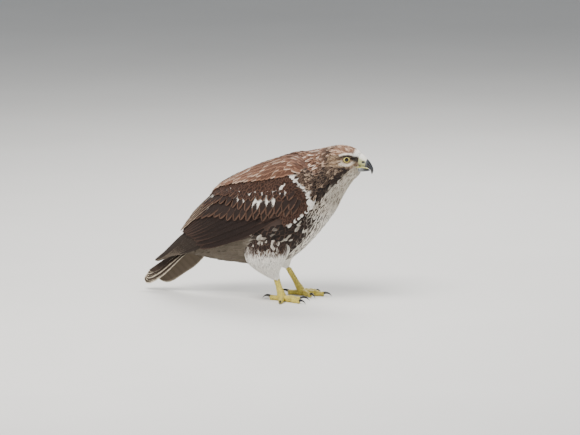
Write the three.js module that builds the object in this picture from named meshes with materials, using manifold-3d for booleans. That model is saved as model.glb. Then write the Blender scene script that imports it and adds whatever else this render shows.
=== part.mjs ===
// A young red-tailed hawk, life size, standing on level ground and leaning forward.
// Millimetres. +X is ahead of the bird, +Y is to its left, +Z is up, and the toes rest on Z = 0.
import * as THREE from "three";
import { mergeVertices } from "three/addons/utils/BufferGeometryUtils.js";
import Module from "manifold-3d";

const wasm = await Module();
wasm.setup();

const V = (x, y, z) => new THREE.Vector3(x, y, z);
const rad = THREE.MathUtils.degToRad;
const lerp = THREE.MathUtils.lerp;

// Sizes shared by many pieces
const GAP = 0.35; // between pieces that touch
const VANE_THICK = 0.7; // of a feather
const VANE_SINK = 3.4; // of a feather's root into what carries it
const SEED = 7;

// The trunk, neck and head as slanted sections, from the rump to the bill:
// upper edge x and z, lower edge x and z, half width, and how far the widest place sits below the middle
const BODY = [
  [-197, 120, -184, 76, 27, 0.0],
  [-176, 160, -158, 72, 40, 0.05],
  [-146, 202, -122, 70, 54, 0.1],
  [-108, 237, -80, 68, 66, 0.12],
  [-68, 263, -38, 72, 74, 0.12],
  [-30, 281, 2, 87, 77, 0.1],
  [2, 295, 38, 119, 75, 0.08],
  [28, 304, 66, 151, 68, 0.05],
  [46, 309, 90, 183, 59, 0.02],
  [60, 312, 107, 214, 49, 0.0],
  [73, 315.5, 121, 236, 41.5, 0.0],
  [86, 319, 131, 249.5, 36, 0.02],
  [99, 321.5, 139, 257, 32.5, 0.08],
  [112, 322, 144, 262.5, 28.5, 0.12],
  [125, 320.5, 146, 265.5, 24.5, 0.14],
  [137, 316.5, 146.5, 267.5, 20, 0.12],
  [145, 312.5, 146.3, 268.2, 16.5, 0.08],
  [150, 308.5, 146, 268.8, 13.5, 0.04],
];
const TORSO_END = 8.3; // row of BODY where the neck begins
const NECK_END = 11.2; // row of BODY where the head begins
const HEAD_END = BODY.length - 1;
const SEAM_ROWS = 0.05; // left between two lengths of BODY

// What gives the face its character: place, reach and push of each swelling or hollow, on both sides
const FACE_FORMS = [
  { at: [129, 21, 306], reach: [13, 10, 4.4], push: [2.4, 5.2, 1.6] }, // brow ridge
  { at: [128, 25, 295], reach: [13, 12, 8], push: [0, -4.2, 0] }, // eye socket
  { at: [143, 14, 292], reach: [8, 10, 7], push: [0, -3.4, 0] }, // hollow before the eye
  { at: [108, 30, 284], reach: [14, 12, 11], push: [0, 2.2, 0] }, // cheek
];

// Eyes and lids
const EYE_AT = V(122.6, 14.4, 296.3);
const EYE_RADIUS = 9.8;
const GAZE = V(0.42, 0.9, -0.04).normalize();
const LID_RING = 7.3;
const LID_THICK = 1.5;

// The bill, in the same kind of sections as the body, without the last number
const CERE = [
  [151.2, 306.2, 147.6, 281.2, 11.6],
  [155, 303.8, 151.2, 280.6, 10.6],
  [159, 300.6, 155, 280.2, 9.4],
  [162.5, 297, 158.6, 279.8, 8.3],
];
const UPPER_BILL = [
  [162.9, 296.4, 159.2, 279.7, 7.9],
  [167.6, 291.6, 163, 278.7, 6.7],
  [172, 285.6, 166.4, 277.2, 5.4],
  [175.2, 279.2, 169.2, 275, 4.2],
  [176.2, 273.4, 170.8, 271.6, 3],
  [175, 268.8, 171.6, 268.4, 1.7],
  [173.1, 265.6, 172.6, 265.6, 0.5],
];
const LOWER_BILL = [
  [147.7, 280.2, 147.1, 269.6, 10.2],
  [154, 279.6, 152, 269.8, 8.8],
  [160, 278.5, 159, 270.4, 6.8],
  [165, 276.2, 164.4, 271.4, 4.6],
  [168.6, 273.7, 168.4, 272.4, 1.6],
];
const GAPE = { at: V(146, 13, 281.2), size: [18, 13, 1.1] };
const NOSTRIL = { at: V(158.6, 8.2, 290.4), size: [2.3, 2.6, 1.5] };

// The folded wing as upright arcs from the back to the lower edge, front to rear:
// x, then across (y) and height (z) of the upper edge, of the point that draws the arc out,
// and of the lower edge
const WING = [
  [77, 69, 231, 73, 228, 70, 221],
  [66, 57, 262, 83, 256, 73, 203],
  [46, 43, 281, 90, 276, 76, 190],
  [14, 27, 294, 99, 288, 80, 167],
  [-36, 15, 280, 103, 270, 78, 143],
  [-86, 7, 260, 96, 246, 71, 124],
  [-146, 3, 228, 78, 208, 57, 106],
  [-190, 2.5, 193, 58, 172, 46, 95],
  [-232, 2.5, 146, 38, 132, 33, 88],
  [-300, 2.5, 76, 20, 72, 22, 60],
];
// Depth of the wing's fleshy arm and of the feathers packed under it, at each x
const WING_DEPTH = [
  [77, 5],
  [46, 18],
  [-36, 24],
  [-100, 26],
  [-150, 24],
  [-190, 12],
  [-214, 3.5],
];
const WING_PACKED = [2.9, -1.6, 3.6]; // height at the back, at the lower edge, and its fall to the rear
// Each tier of the wing: how many vanes, then, from the first to the last of them, root and tip
// as x and share of the way from the back to the lower edge, half width, height over the wing, and lean
const WING_TIERS = [
  { name: "primaries", count: 5, root: [[-150, 0.42], [-150, 0.86]], tip: [[-297, 0.72], [-246, 1.02]],
    half: [9, 7.5], rise: [-5.0, -5.0], lean: 0.14 },
  { name: "secondaries", count: 7, root: [[-72, 0.36], [6, 0.92]], tip: [[-236, 0.26], [-184, 0.97]],
    half: [9.5, 8.5], rise: [-1.4, -1.4], lean: 0.13 },
  { name: "tertials", count: 3, root: [[-110, 0.1], [-120, 0.3]], tip: [[-214, 0.12], [-237, 0.36]],
    half: [10, 10], rise: [2.0, 1.4], lean: 0.13 },
  { name: "greater_coverts", count: 9, root: [[-140, 0.4], [34, 0.54]], tip: [[-186, 0.56], [-4, 0.76]],
    half: [10, 9.5], rise: [1.8, 1.6], lean: 0.14 },
  { name: "median_coverts", count: 8, root: [[-120, 0.26], [44, 0.38]], tip: [[-158, 0.42], [12, 0.58]],
    half: [10, 9.5], rise: [4.4, 4.0], lean: 0.14 },
  { name: "scapulars", count: 6, root: [[-112, 0.1], [34, 0.1]], tip: [[-160, 0.26], [-6, 0.32]],
    half: [13, 12], rise: [6.9, 6.2], lean: 0.13 },
];

// The tail: where it leaves the rump, its length and slope, and how its folded feathers form a roof
const TAIL_ROOT = V(-138, 0, 139);
const TAIL_LENGTH = 200;
const TAIL_STEP = { left: -1, right: 3.6 }; // how much further each feather reaches than its inner neighbour
const TAIL_SLOPE = rad(35);
const TAIL_LIFT = 20; // of the roof's crest over the line from the root
const TAIL_CREST = 8; // how softly the crest is rounded
const TAIL_FALL = { left: rad(66), right: rad(58) }; // how steeply each side falls near the tip
const TAIL_LEFT_WIDER = 0.5; // what the left side gains in width towards the tip
const TAIL_PAIRS = 6;
const TAIL_LAYER = 1.16; // between two feathers that lie over one another
const TAIL_EDGE = [15, 4.5]; // outer edge of the middle feather, and what each further one adds
const TAIL_START = 48; // along the tail, where the vanes are rooted
const TAIL_CORE = [
  [40, 30, 20],
  [58, 28, 17],
  [76, 25, 11],
  [96, 21, 5.5],
  [112, 16, 3.2],
];

// The feathered thigh, level sections from the belly to its hem: x, y, z, reach along x and across
const THIGH = [
  [-26, 38, 150, 34, 20],
  [-33, 46, 124, 45, 28],
  [-38, 48, 100, 46, 28],
  [-41, 46.5, 79, 38, 24],
  [-36, 44, 62, 24, 16.5],
  [-24, 42.6, 49, 11, 10],
];
const HEM = {
  count: 7, half: 7.5, widths: [0.7, 1, 0.85, 0.3], thick: 0.9,
  sink: 3, stand: 1.6, span: [0.56, 1.02], reach: [40, 16],
};

// The legs: heel and foot of each, and each toe's heading in degrees, length and claw length
const LEGS = {
  right: {
    side: -1, heel: V(-32, 42, 84), foot: V(-6, 42, 8.6), hem: { back: 0, lift: 0 },
    toes: [
      { name: "back", turn: 164, length: 30, claw: 27, joints: 1 },
      { name: "inner", turn: 18, length: 37, claw: 26, joints: 2 },
      { name: "middle", turn: -22, length: 48, claw: 22, joints: 3 },
      { name: "outer", turn: -76, length: 37, claw: 18, joints: 3 },
    ],
  },
  left: {
    side: 1, heel: V(-40, 42, 80), foot: V(6, 42, 8.6), hem: { back: 9, lift: 11 },
    toes: [
      { name: "back", turn: 180, length: 30, claw: 27, joints: 1 },
      { name: "inner", turn: -41, length: 37, claw: 26, joints: 2 },
      { name: "middle", turn: 3, length: 48, claw: 22, joints: 3 },
      { name: "outer", turn: 58, length: 37, claw: 18, joints: 3 },
    ],
  },
};
const SHANK = { long: 6.4, wide: 5.4, pad: 8.8 };
const TOE = { root: 5.6, tip: 4.3, swell: 0.75, height: 4.7 };
const CLAW = { tall: 3.3, wide: 2.5, up: rad(34), down: rad(-62), tip: 0.15 };
const SCUTES = { count: 7, half: 4.6, step: 5.4, stand: 0.7 };

// Looks
const FINISH = {
  back: { color: 0x5a3d2e, roughness: 0.9 },
  wing: { color: 0x4a3226, roughness: 0.85 },
  tail: { color: 0x7d6a54, roughness: 0.85 },
  head: { color: 0x8a6a50, roughness: 0.9 },
  pale: { color: 0xe4dac6, roughness: 0.95 },
  skin: { color: 0xd2c04a, roughness: 0.55 },
  cere: { color: 0xc2c266, roughness: 0.5 },
  horn: { color: 0x3a3c42, roughness: 0.3 },
  eye: { color: 0xd8cf86, roughness: 0.08 },
};

// A repeatable draw between -1 and 1
let drawn = SEED;
function draw() {
  drawn = (drawn * 16807) % 2147483647;
  return (drawn / 2147483647) * 2 - 1;
}

// A closed geometry as a solid that faces out
function solid(geometry) {
  geometry.deleteAttribute("normal");
  geometry.deleteAttribute("uv");
  const merged = mergeVertices(geometry, 1e-4);
  const vertProperties = merged.attributes.position.array;
  const triVerts = new Uint32Array(merged.index.array);
  const make = () => new wasm.Manifold(new wasm.Mesh({ numProp: 3, vertProperties, triVerts }));
  const made = make();
  if (made.volume() > 0) return made;
  for (let i = 0; i < triVerts.length; i += 3) {
    [triVerts[i + 1], triVerts[i + 2]] = [triVerts[i + 2], triVerts[i + 1]];
  }
  return make();
}

// The largest closed surface of a solid
function whole(made) {
  const parts = made.simplify(0.12).decompose();
  return parts.reduce((best, part) => (part.volume() > best.volume() ? part : best));
}

// The smooth value of a table of rows at a fractional row number
function along(table, at) {
  const last = table.length - 1;
  const i = Math.min(Math.max(Math.floor(at), 0), last - 1);
  const t = at - i;
  const row = (k) => table[Math.min(Math.max(k, 0), last)];
  const [a, b, c, d] = [row(i - 1), row(i), row(i + 1), row(i + 2)];
  return b.map((_, k) => {
    const bend = 2 * a[k] - 5 * b[k] + 4 * c[k] - d[k];
    const twist = 3 * b[k] - a[k] - 3 * c[k] + d[k];
    return 0.5 * (2 * b[k] + (c[k] - a[k]) * t + bend * t * t + twist * t * t * t);
  });
}

// The fractional row number of a table whose first column falls, at a value of that column
function rowAt(table, x) {
  let i = 0;
  while (i < table.length - 2 && x < table[i + 1][0]) i += 1;
  return i + (table[i][0] - x) / (table[i][0] - table[i + 1][0]);
}

// A closed skin of rings, place(share along, angle), with each end closed onto its middle
function loft(rows, around, place) {
  const geometry = new THREE.SphereGeometry(1, around, rows + 2);
  const spots = geometry.attributes.position;
  const ring = (row) =>
    Array.from({ length: around + 1 }, (_, k) => place(row / rows, (2 * Math.PI * (k % around)) / around));
  const middle = (points) =>
    points.slice(0, around).reduce((sum, p) => sum.add(p), V(0, 0, 0)).divideScalar(around);
  const rings = Array.from({ length: rows + 1 }, (_, row) => ring(row));
  const first = middle(rings[0]);
  const last = middle(rings[rows]);
  const all = [Array(around + 1).fill(first), ...rings, Array(around + 1).fill(last)];
  all.flat().forEach((p, i) => spots.setXYZ(i, p.x, p.y, p.z));
  return solid(geometry);
}

// A thin plate on a grid: place(row share, column share, face) with face 1 above and -1 below,
// split alike on both
function plate(rows, columns, place) {
  const spots = [];
  const faces = [];
  const wide = columns + 1;
  const below = (rows + 1) * wide;
  for (const face of [1, -1]) {
    for (let i = 0; i <= rows; i += 1) {
      for (let j = 0; j <= columns; j += 1) spots.push(...place(i / rows, j / columns, face));
    }
  }
  const quad = (a, b, c, d) => faces.push(a, b, c, a, c, d);
  for (let i = 0; i < rows; i += 1) {
    for (let j = 0; j < columns; j += 1) {
      const a = i * wide + j;
      const [b, c, d] = [a + wide, a + wide + 1, a + 1];
      quad(a, b, c, d);
      faces.push(below + a, below + c, below + b, below + a, below + d, below + c);
    }
    const left = i * wide;
    const right = left + columns;
    quad(left, below + left, below + left + wide, left + wide);
    quad(right, right + wide, below + right + wide, below + right);
  }
  for (let j = 0; j < columns; j += 1) {
    const far = rows * wide + j;
    quad(j, j + 1, below + j + 1, below + j);
    quad(far, below + far, below + far + 1, far + 1);
  }
  const geometry = new THREE.BufferGeometry();
  geometry.setAttribute("position", new THREE.Float32BufferAttribute(spots, 3));
  geometry.setIndex(faces);
  return solid(geometry);
}

// A point of a ring drawn between an upper and a lower edge in the plane of symmetry
function sectionPoint([topX, topZ, lowX, lowZ, half, sag = 0], angle, grow) {
  const reach = Math.hypot(topX - lowX, topZ - lowZ) / 2;
  const rise = (Math.cos(angle) - sag * Math.sin(angle) ** 2) * (1 + grow / reach);
  return V(
    (topX + lowX) / 2 + ((topX - lowX) / 2) * rise,
    (half + grow) * Math.sin(angle),
    (topZ + lowZ) / 2 + ((topZ - lowZ) / 2) * rise,
  );
}

// A point of the body's surface, with the forms of the face
function bodyPoint(row, angle, grow) {
  const p = sectionPoint(along(BODY, row), angle, grow);
  const side = Math.sign(Math.sin(angle)) || 1;
  for (const { at, reach, push } of FACE_FORMS) {
    const off = [p.x - at[0], p.y * side - at[1], p.z - at[2]];
    const share = Math.exp(-off.reduce((sum, d, k) => sum + (d / reach[k]) ** 2, 0));
    p.x += push[0] * share;
    p.y += push[1] * share * side * Math.min(1, Math.abs(Math.sin(angle)) * 3);
    p.z += push[2] * share;
  }
  return p;
}

// A length of the body, or the room it needs when it is grown: the ends move out as well
function bodyLength(from, to, rows, around, grow = 0) {
  const end = grow ? 0.02 : 0;
  const row = (s) => lerp(from, to, s) + (s === 0 ? -end : 0) + (s === 1 ? end : 0);
  return loft(rows, around, (s, angle) => bodyPoint(row(s), angle, grow));
}

function billLength(table, rows, around, grow = 0) {
  return loft(rows, around, (s, angle) => sectionPoint(along(table, s * (table.length - 1)), angle, grow));
}

// A box or a ball as a solid, for cuts
function block(size, at) {
  return solid(new THREE.BoxGeometry(...size).translate(at.x, at.y, at.z));
}
function ball(radius, at, size = [1, 1, 1], around = 12, rows = 8) {
  return solid(new THREE.SphereGeometry(radius, around, rows).scale(...size).translate(at.x, at.y, at.z));
}

const onSide = (p, side) => V(p.x, p.y * side, p.z);

// A turned form that faces along the gaze, a way out from the middle of the eye
function alongGaze(geometry, side, out) {
  const gaze = onSide(GAZE, side);
  geometry.applyQuaternion(new THREE.Quaternion().setFromUnitVectors(V(0, 0, 1), gaze));
  const seat = onSide(EYE_AT, side).addScaledVector(gaze, out);
  return solid(geometry.translate(seat.x, seat.y, seat.z));
}

function headSolid() {
  let made = bodyLength(NECK_END + SEAM_ROWS, HEAD_END, 12, 28);
  const lidOut = Math.sqrt(EYE_RADIUS ** 2 - LID_RING ** 2);
  for (const side of [-1, 1]) {
    const flare = new THREE.CylinderGeometry(LID_RING + 6, LID_RING + 0.5, 8, 12).rotateX(Math.PI / 2);
    made = made.subtract(alongGaze(flare, side, lidOut + 4));
    made = made.add(alongGaze(new THREE.TorusGeometry(LID_RING, LID_THICK, 5, 12), side, lidOut));
    made = made.subtract(ball(EYE_RADIUS + GAP, onSide(EYE_AT, side)));
    made = made.subtract(block(GAPE.size, onSide(GAPE.at, side)));
  }
  return made;
}

function cereSolid() {
  let made = billLength(CERE, 4, 16);
  for (const side of [-1, 1]) made = made.subtract(ball(1, onSide(NOSTRIL.at, side), NOSTRIL.size, 8, 5));
  return made;
}

// A point over the folded wing, at x and a share of the way across, and the surface's directions there
function wingPoint(x, share, height, side) {
  const at = (px, ps) => {
    const [, topY, topZ, outY, outZ, lowY, lowZ] = along(WING, rowAt(WING, px));
    const [a, b, c] = [(1 - ps) ** 2, 2 * ps * (1 - ps), ps * ps];
    return V(px, side * (a * topY + b * outY + c * lowY), a * topZ + b * outZ + c * lowZ);
  };
  const p = at(x, share);
  const back = at(x - 1, share).sub(p);
  const across = at(x, share + 0.01).sub(p).multiplyScalar(100);
  const normal = back.clone().cross(across).multiplyScalar(-side).normalize();
  return { p: p.addScaledVector(normal, height), back, across, normal };
}

// Width of a feather at each share of its length
const VANE_ROWS = [
  [0, 0.45],
  [0.35, 0.95],
  [0.84, 0.9],
  [1, 0.4],
];
const TAIL_ROWS = [
  [0, 0.45],
  [0.25, 0.95],
  [0.5, 0.95],
  [0.72, 0.92],
  [0.9, 0.9],
  [1, 0.4],
];
const COVERT_ROWS = [
  [0, 0.5],
  [0.35, 0.95],
  [0.72, 1],
  [1, 0.42],
];

function wingVane({ root, tip, half, rise, lean, rows, columns }, side) {
  return plate(rows.length - 1, columns, (s, across, face) => {
    const [share, width] = rows[Math.round(s * (rows.length - 1))];
    const r = across * 2 - 1;
    const x = lerp(root[0], tip[0], share);
    const t = lerp(root[1], tip[1], share);
    const here = wingPoint(x, t, 0, side);
    const run = here.back.clone().multiplyScalar(root[0] - tip[0]);
    run.addScaledVector(here.across, tip[1] - root[1]).normalize();
    const aside = here.normal.clone().cross(run).multiplyScalar(-side).normalize();
    const off = r * half * width;
    const dx = (-aside.dot(here.back) * off) / here.back.lengthSq();
    const dt = (aside.dot(here.across) * off) / here.across.lengthSq();
    const height = rise + lean * off - VANE_SINK * (1 - THREE.MathUtils.smoothstep(share, 0, 0.4));
    const crown = columns > 1 ? 0.3 * (1 - r * r) : 0;
    return wingPoint(x + dx, t + dt, height + crown + (face * VANE_THICK) / 2, side).p.toArray();
  });
}

// How high the packed feathers lie under the vanes: deepest at the lower edge and to the rear
function packedHeight(x, share) {
  const step = THREE.MathUtils.smoothstep;
  return lerp(WING_PACKED[0], WING_PACKED[1], step(share, 0.1, 0.7)) - WING_PACKED[2] * step(-x, 90, 190);
}

function wingCore(side) {
  const [front, rear] = [WING[0][0] - 1, WING_DEPTH.at(-1)[0]];
  return loft(13, 14, (s, angle) => {
    const x = lerp(front, rear, s ** 1.35);
    const [, depth] = along(WING_DEPTH, rowAt(WING_DEPTH, x));
    const share = 0.5 - 0.5 * Math.cos(angle);
    const inner = Math.sin(angle) < 0 ? Math.abs(Math.sin(angle)) ** 0.6 : 0;
    return wingPoint(x, share, packedHeight(x, share) - inner * depth, side).p;
  });
}

function wingVanes(side) {
  return WING_TIERS.flatMap(({ name, count, root, tip, half, rise, lean }) =>
    Array.from({ length: count }, (_, k) => {
      const s = k / (count - 1);
      const small = name.endsWith("coverts");
      const mix = (pair) => lerp(pair[0], pair[1], s);
      const spot = (pair) => [lerp(pair[0][0], pair[1][0], s), lerp(pair[0][1], pair[1][1], s)];
      const end = spot(tip);
      if (name === "primaries") end[0] -= 14 * Math.sin(Math.PI * s);
      if (name === "secondaries") end[0] -= 12 * Math.sin(Math.PI * s);
      end[0] += 1.6 * draw();
      return wingVane({
        root: spot(root), tip: end, half: mix(half), rise: mix(rise), lean,
        rows: small ? COVERT_ROWS : VANE_ROWS, columns: small ? 1 : 2,
      }, side);
    }));
}

// A point on the tail, by the way along it, the way across it to the left and the height over it
function tailPoint(down, left, height) {
  const grown = (from, to) => THREE.MathUtils.smoothstep(down / TAIL_LENGTH, from, to);
  const leftFall = TAIL_FALL.left * grown(0.1, 0.65);
  const rightFall = TAIL_FALL.right * grown(0.27, 0.92);
  const wide = 1 + TAIL_LEFT_WIDER * grown(0.3, 0.8);
  const leftWay = [wide * Math.cos(leftFall), -wide * Math.sin(leftFall)];
  const rightWay = [-Math.cos(rightFall), -Math.sin(rightFall)];
  const bend = Math.hypot(left, TAIL_CREST);
  // Both ways from the crest in one smooth curve, and the direction it runs in
  const both = leftWay.map((v, i) => (v + rightWay[i]) / 2);
  const apart = leftWay.map((v, i) => (v - rightWay[i]) / 2);
  const spot = both.map((v, i) => v * (bend - TAIL_CREST) + apart[i] * left);
  const run = both.map((v, i) => v * (left / bend) + apart[i]);
  const share = height / Math.hypot(...run);
  const back = V(-Math.cos(TAIL_SLOPE), 0, -Math.sin(TAIL_SLOPE));
  const up = V(-Math.sin(TAIL_SLOPE), 0, Math.cos(TAIL_SLOPE));
  const rise = TAIL_LIFT * grown(0.05, 0.8) + spot[1] + share * run[0];
  const across = V(0, spot[0] - share * run[1], 0);
  return TAIL_ROOT.clone().addScaledVector(back, down).addScaledVector(up, rise).add(across);
}

function tailVane(pair, side) {
  const outer = TAIL_EDGE[0] + TAIL_EDGE[1] * (pair - 1);
  const inner = pair === 1 ? (side < 0 ? -11 : -1.2) : 2;
  const level = -TAIL_LAYER * (pair - (side < 0 ? 1 : 0));
  const length = TAIL_LENGTH + TAIL_STEP[side < 0 ? "right" : "left"] * (pair - 1) + draw();
  const start = TAIL_START + 3 * pair;
  return plate(TAIL_ROWS.length - 1, 4, (s, across, face) => {
    const [share, width] = TAIL_ROWS[Math.round(s * (TAIL_ROWS.length - 1))];
    const down = lerp(start, length, share);
    const fan = lerp(0.78, 1, share);
    const middle = ((inner + outer) / 2) * fan;
    const off = ((outer - inner) / 2) * fan * lerp(width, 1, share > 0.3 ? 0.3 : 0);
    const left = side * (middle + off * (across * 2 - 1));
    return tailPoint(down, left, level + (face * VANE_THICK) / 2).toArray();
  });
}

function tailSolid() {
  const drop = TAIL_LAYER * TAIL_PAIRS * 0.5;
  const core = loft(7, 16, (s, angle) => {
    const [down, half, tall] = along(TAIL_CORE, s * (TAIL_CORE.length - 1));
    return tailPoint(down, half * Math.sin(angle), -drop + tall * Math.cos(angle));
  });
  const vanes = [];
  for (let pair = 1; pair <= TAIL_PAIRS; pair += 1) vanes.push(tailVane(pair, -1), tailVane(pair, 1));
  return vanes.reduce((made, vane) => made.add(vane), core);
}

function thighPoint(s, angle, { side, hem }, grow = 0) {
  const [x, y, z, reach, wide] = along(THIGH, s * (THIGH.length - 1));
  const middle = x - hem.back * s;
  const aside = side * (y + (wide + grow) * Math.sin(angle));
  return V(middle + (reach + grow) * Math.cos(angle), aside, z + hem.lift * s);
}

// The long feathers that hang over the hem of the thigh
function hemVane(k, leg) {
  const angle = lerp(0.9, 2 * Math.PI - 0.9, k / (HEM.count - 1)) + 0.08 * draw();
  const out = V(Math.cos(angle), leg.side * Math.sin(angle), 0.25).normalize();
  return plate(HEM.widths.length - 1, 1, (s, across, face) => {
    const half = HEM.half * HEM.widths[Math.round(s * (HEM.widths.length - 1))];
    const turn = ((across * 2 - 1) * half) / lerp(HEM.reach[0], HEM.reach[1], s);
    const stand = lerp(-HEM.sink, HEM.stand, Math.min(1, s * 2));
    const p = thighPoint(lerp(HEM.span[0], HEM.span[1], s), angle + turn, leg);
    return p.addScaledVector(out, stand + (face * HEM.thick) / 2).toArray();
  });
}

function thighSolid(leg, grow = 0) {
  return loft(8, 18, (s, angle) => {
    const p = thighPoint(s, angle, leg, grow);
    if (s === 1) p.z -= grow;
    return p;
  });
}

// The bare shank, from inside the thigh's hem down to the pad of the foot
function shankSolid({ side, heel, foot }, grow = 0) {
  const ankle = THREE.MathUtils.smoothstep;
  return loft(11, 12, (s, angle) => {
    const down = lerp(0.34, 1.115, s);
    const centre = heel.clone().lerp(foot, Math.min(1, down));
    const flare = ankle(down, 0.7, 0.98);
    const round = down > 1 ? Math.sqrt(1 - ((down - 1) / 0.135) ** 2) : 1;
    const long = (lerp(SHANK.long, SHANK.pad, flare) + grow) * lerp(0.62, 1, round);
    const wide = (lerp(SHANK.wide, SHANK.pad * 0.92, flare) + grow) * lerp(0.62, 1, round);
    const z = centre.z - Math.max(0, down - 1) * (foot.z / 0.115);
    return V(centre.x + long * Math.cos(angle), side * (centre.y + wide * Math.sin(angle)), z);
  });
}

// Plates down the front of the shank
function scute(leg, k) {
  const { side, heel, foot } = leg;
  const axis = foot.clone().sub(heel).normalize();
  const mid = foot.clone().addScaledVector(axis, -(13 + SCUTES.step * k));
  return plate(1, 3, (s, across, face) => {
    const turn = (across * 2 - 1) * 0.95;
    const out = (SHANK.long - 1.4 + SCUTES.stand + 0.9 * s) * (face > 0 ? 1 : 0.78);
    const z = mid.z + (0.5 - s) * SCUTES.step * 0.86;
    const x = mid.x + ((mid.z - z) * axis.x) / -axis.z;
    return [x + out * 1.08 * Math.cos(turn), side * (mid.y + out * 0.94 * Math.sin(turn)), z];
  });
}

function toePoint(toe, leg, run, aside, z) {
  const turn = rad(toe.turn);
  const ahead = V(Math.cos(turn), Math.sin(turn), 0);
  const left = V(-Math.sin(turn), Math.cos(turn), 0);
  const p = V(leg.foot.x, leg.side * leg.foot.y, 0).addScaledVector(ahead, run).addScaledVector(left, aside);
  p.z = Math.max(0, z);
  return p;
}

function toeSolid(toe, leg, grow = 0) {
  return loft(toe.joints * 2 + 2, 8, (s, angle) => {
    const swell = TOE.swell * Math.cos(2 * Math.PI * toe.joints * s);
    const end = s > 0.97 ? 0.84 : 1;
    const radius = (lerp(TOE.root, TOE.tip, s) + swell) * end + grow;
    const height = TOE.height + 1.6 * Math.sin(Math.PI * Math.min(1, s * 1.1)) * (toe.joints > 1 ? 1 : 0.5) +
      2.2 * (1 - s) ** 3;
    const hang = Math.cos(angle) < 0 ? 1.28 : 1;
    const z = height + radius * Math.cos(angle) * hang;
    return toePoint(toe, leg, lerp(-grow, toe.length + grow, s), radius * Math.sin(angle), z);
  });
}

function clawSolid(toe, leg) {
  const bend = CLAW.up - CLAW.down;
  const radius = toe.claw / bend;
  return loft(5, 7, (s, angle) => {
    const lean = CLAW.up - bend * s;
    const run = toe.length - 2.5 + radius * (Math.sin(CLAW.up) - Math.sin(lean));
    const height = CLAW.tip + radius * (Math.cos(lean) - Math.cos(CLAW.down));
    const size = Math.max(0.13, 1 - s ** 1.4);
    const out = CLAW.tall * size * Math.cos(angle);
    const aside = CLAW.wide * size * Math.sin(angle);
    return toePoint(toe, leg, run - out * Math.sin(lean), aside, height + out * Math.cos(lean));
  });
}

const bird = new THREE.Group();

function put(name, made, { color, roughness }) {
  const mesh = whole(made).getMesh();
  const geometry = new THREE.BufferGeometry();
  const spots = new Float32Array(mesh.numVert * 3);
  for (let i = 0; i < mesh.numVert; i += 1) {
    for (let k = 0; k < 3; k += 1) spots[i * 3 + k] = mesh.vertProperties[i * mesh.numProp + k];
  }
  geometry.setAttribute("position", new THREE.BufferAttribute(spots, 3));
  geometry.setIndex(new THREE.BufferAttribute(mesh.triVerts, 1));
  geometry.computeVertexNormals();
  const piece = new THREE.Mesh(geometry, new THREE.MeshStandardMaterial({ color, roughness, metalness: 0 }));
  piece.name = name;
  bird.add(piece);
}

// Trunk, neck and head
const trunk = bodyLength(0, TORSO_END, 16, 28);
const trunkSpace = bodyLength(0, TORSO_END, 16, 28, GAP);
const neckSpace = bodyLength(TORSO_END, NECK_END, 6, 28, GAP);
put("torso", trunk, FINISH.back);
put("neck", bodyLength(TORSO_END + SEAM_ROWS, NECK_END, 6, 28), FINISH.head);
put("head", headSolid(), FINISH.head);
put("cere", cereSolid(), FINISH.cere);
put("bill_upper", billLength(UPPER_BILL, 8, 14), FINISH.horn);
put("bill_lower", billLength(LOWER_BILL, 6, 14), FINISH.horn);

// Tail
const tail = tailSolid().subtract(trunkSpace);
put("tail", tail, FINISH.tail);

for (const leg of Object.values(LEGS)) {
  const { side } = leg;
  const word = side < 0 ? "right" : "left";
  put(`eye_${word}`, ball(EYE_RADIUS, onSide(EYE_AT, side)), FINISH.eye);

  // Thigh, and the wing that lies over it
  const thighSpace = thighSolid(leg, GAP);
  const hem = Array.from({ length: HEM.count }, (_, k) => hemVane(k, leg));
  const thigh = hem.reduce((made, vane) => made.add(vane), thighSolid(leg)).subtract(trunkSpace);
  put(`thigh_${word}`, thigh, FINISH.pale);
  const acrossMiddle = block([700, 200, 500], V(-60, -side * (100 - GAP / 2), 160));
  const wing = wingVanes(side).reduce((made, vane) => made.add(vane), wingCore(side));
  const taken = [trunkSpace, neckSpace, thighSpace, acrossMiddle];
  put(`wing_${word}`, taken.reduce((made, space) => made.subtract(space), wing), FINISH.wing);

  // Shank, toes and claws
  const plates = Array.from({ length: SCUTES.count }, (_, k) => scute(leg, k));
  const shank = plates.reduce((made, one) => made.add(one), shankSolid(leg));
  put(`shank_${word}`, shank.subtract(thighSpace), FINISH.skin);
  let footSpace = shankSolid(leg, GAP);
  for (const toe of leg.toes) {
    put(`toe_${toe.name}_${word}`, toeSolid(toe, leg).subtract(footSpace), FINISH.skin);
    put(`claw_${toe.name}_${word}`, clawSolid(toe, leg).subtract(toeSolid(toe, leg, GAP)), FINISH.horn);
    footSpace = footSpace.add(toeSolid(toe, leg, GAP));
  }
}

// The origin lies on the ground, under the middle of the whole bird
const extent = new THREE.Box3().setFromObject(bird, true);
bird.position.set(-(extent.min.x + extent.max.x) / 2, -(extent.min.y + extent.max.y) / 2, -extent.min.z);

export default bird;
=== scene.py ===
"""A young red-tailed hawk as a life-size museum model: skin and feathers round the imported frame."""
import math
from collections import namedtuple

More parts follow.
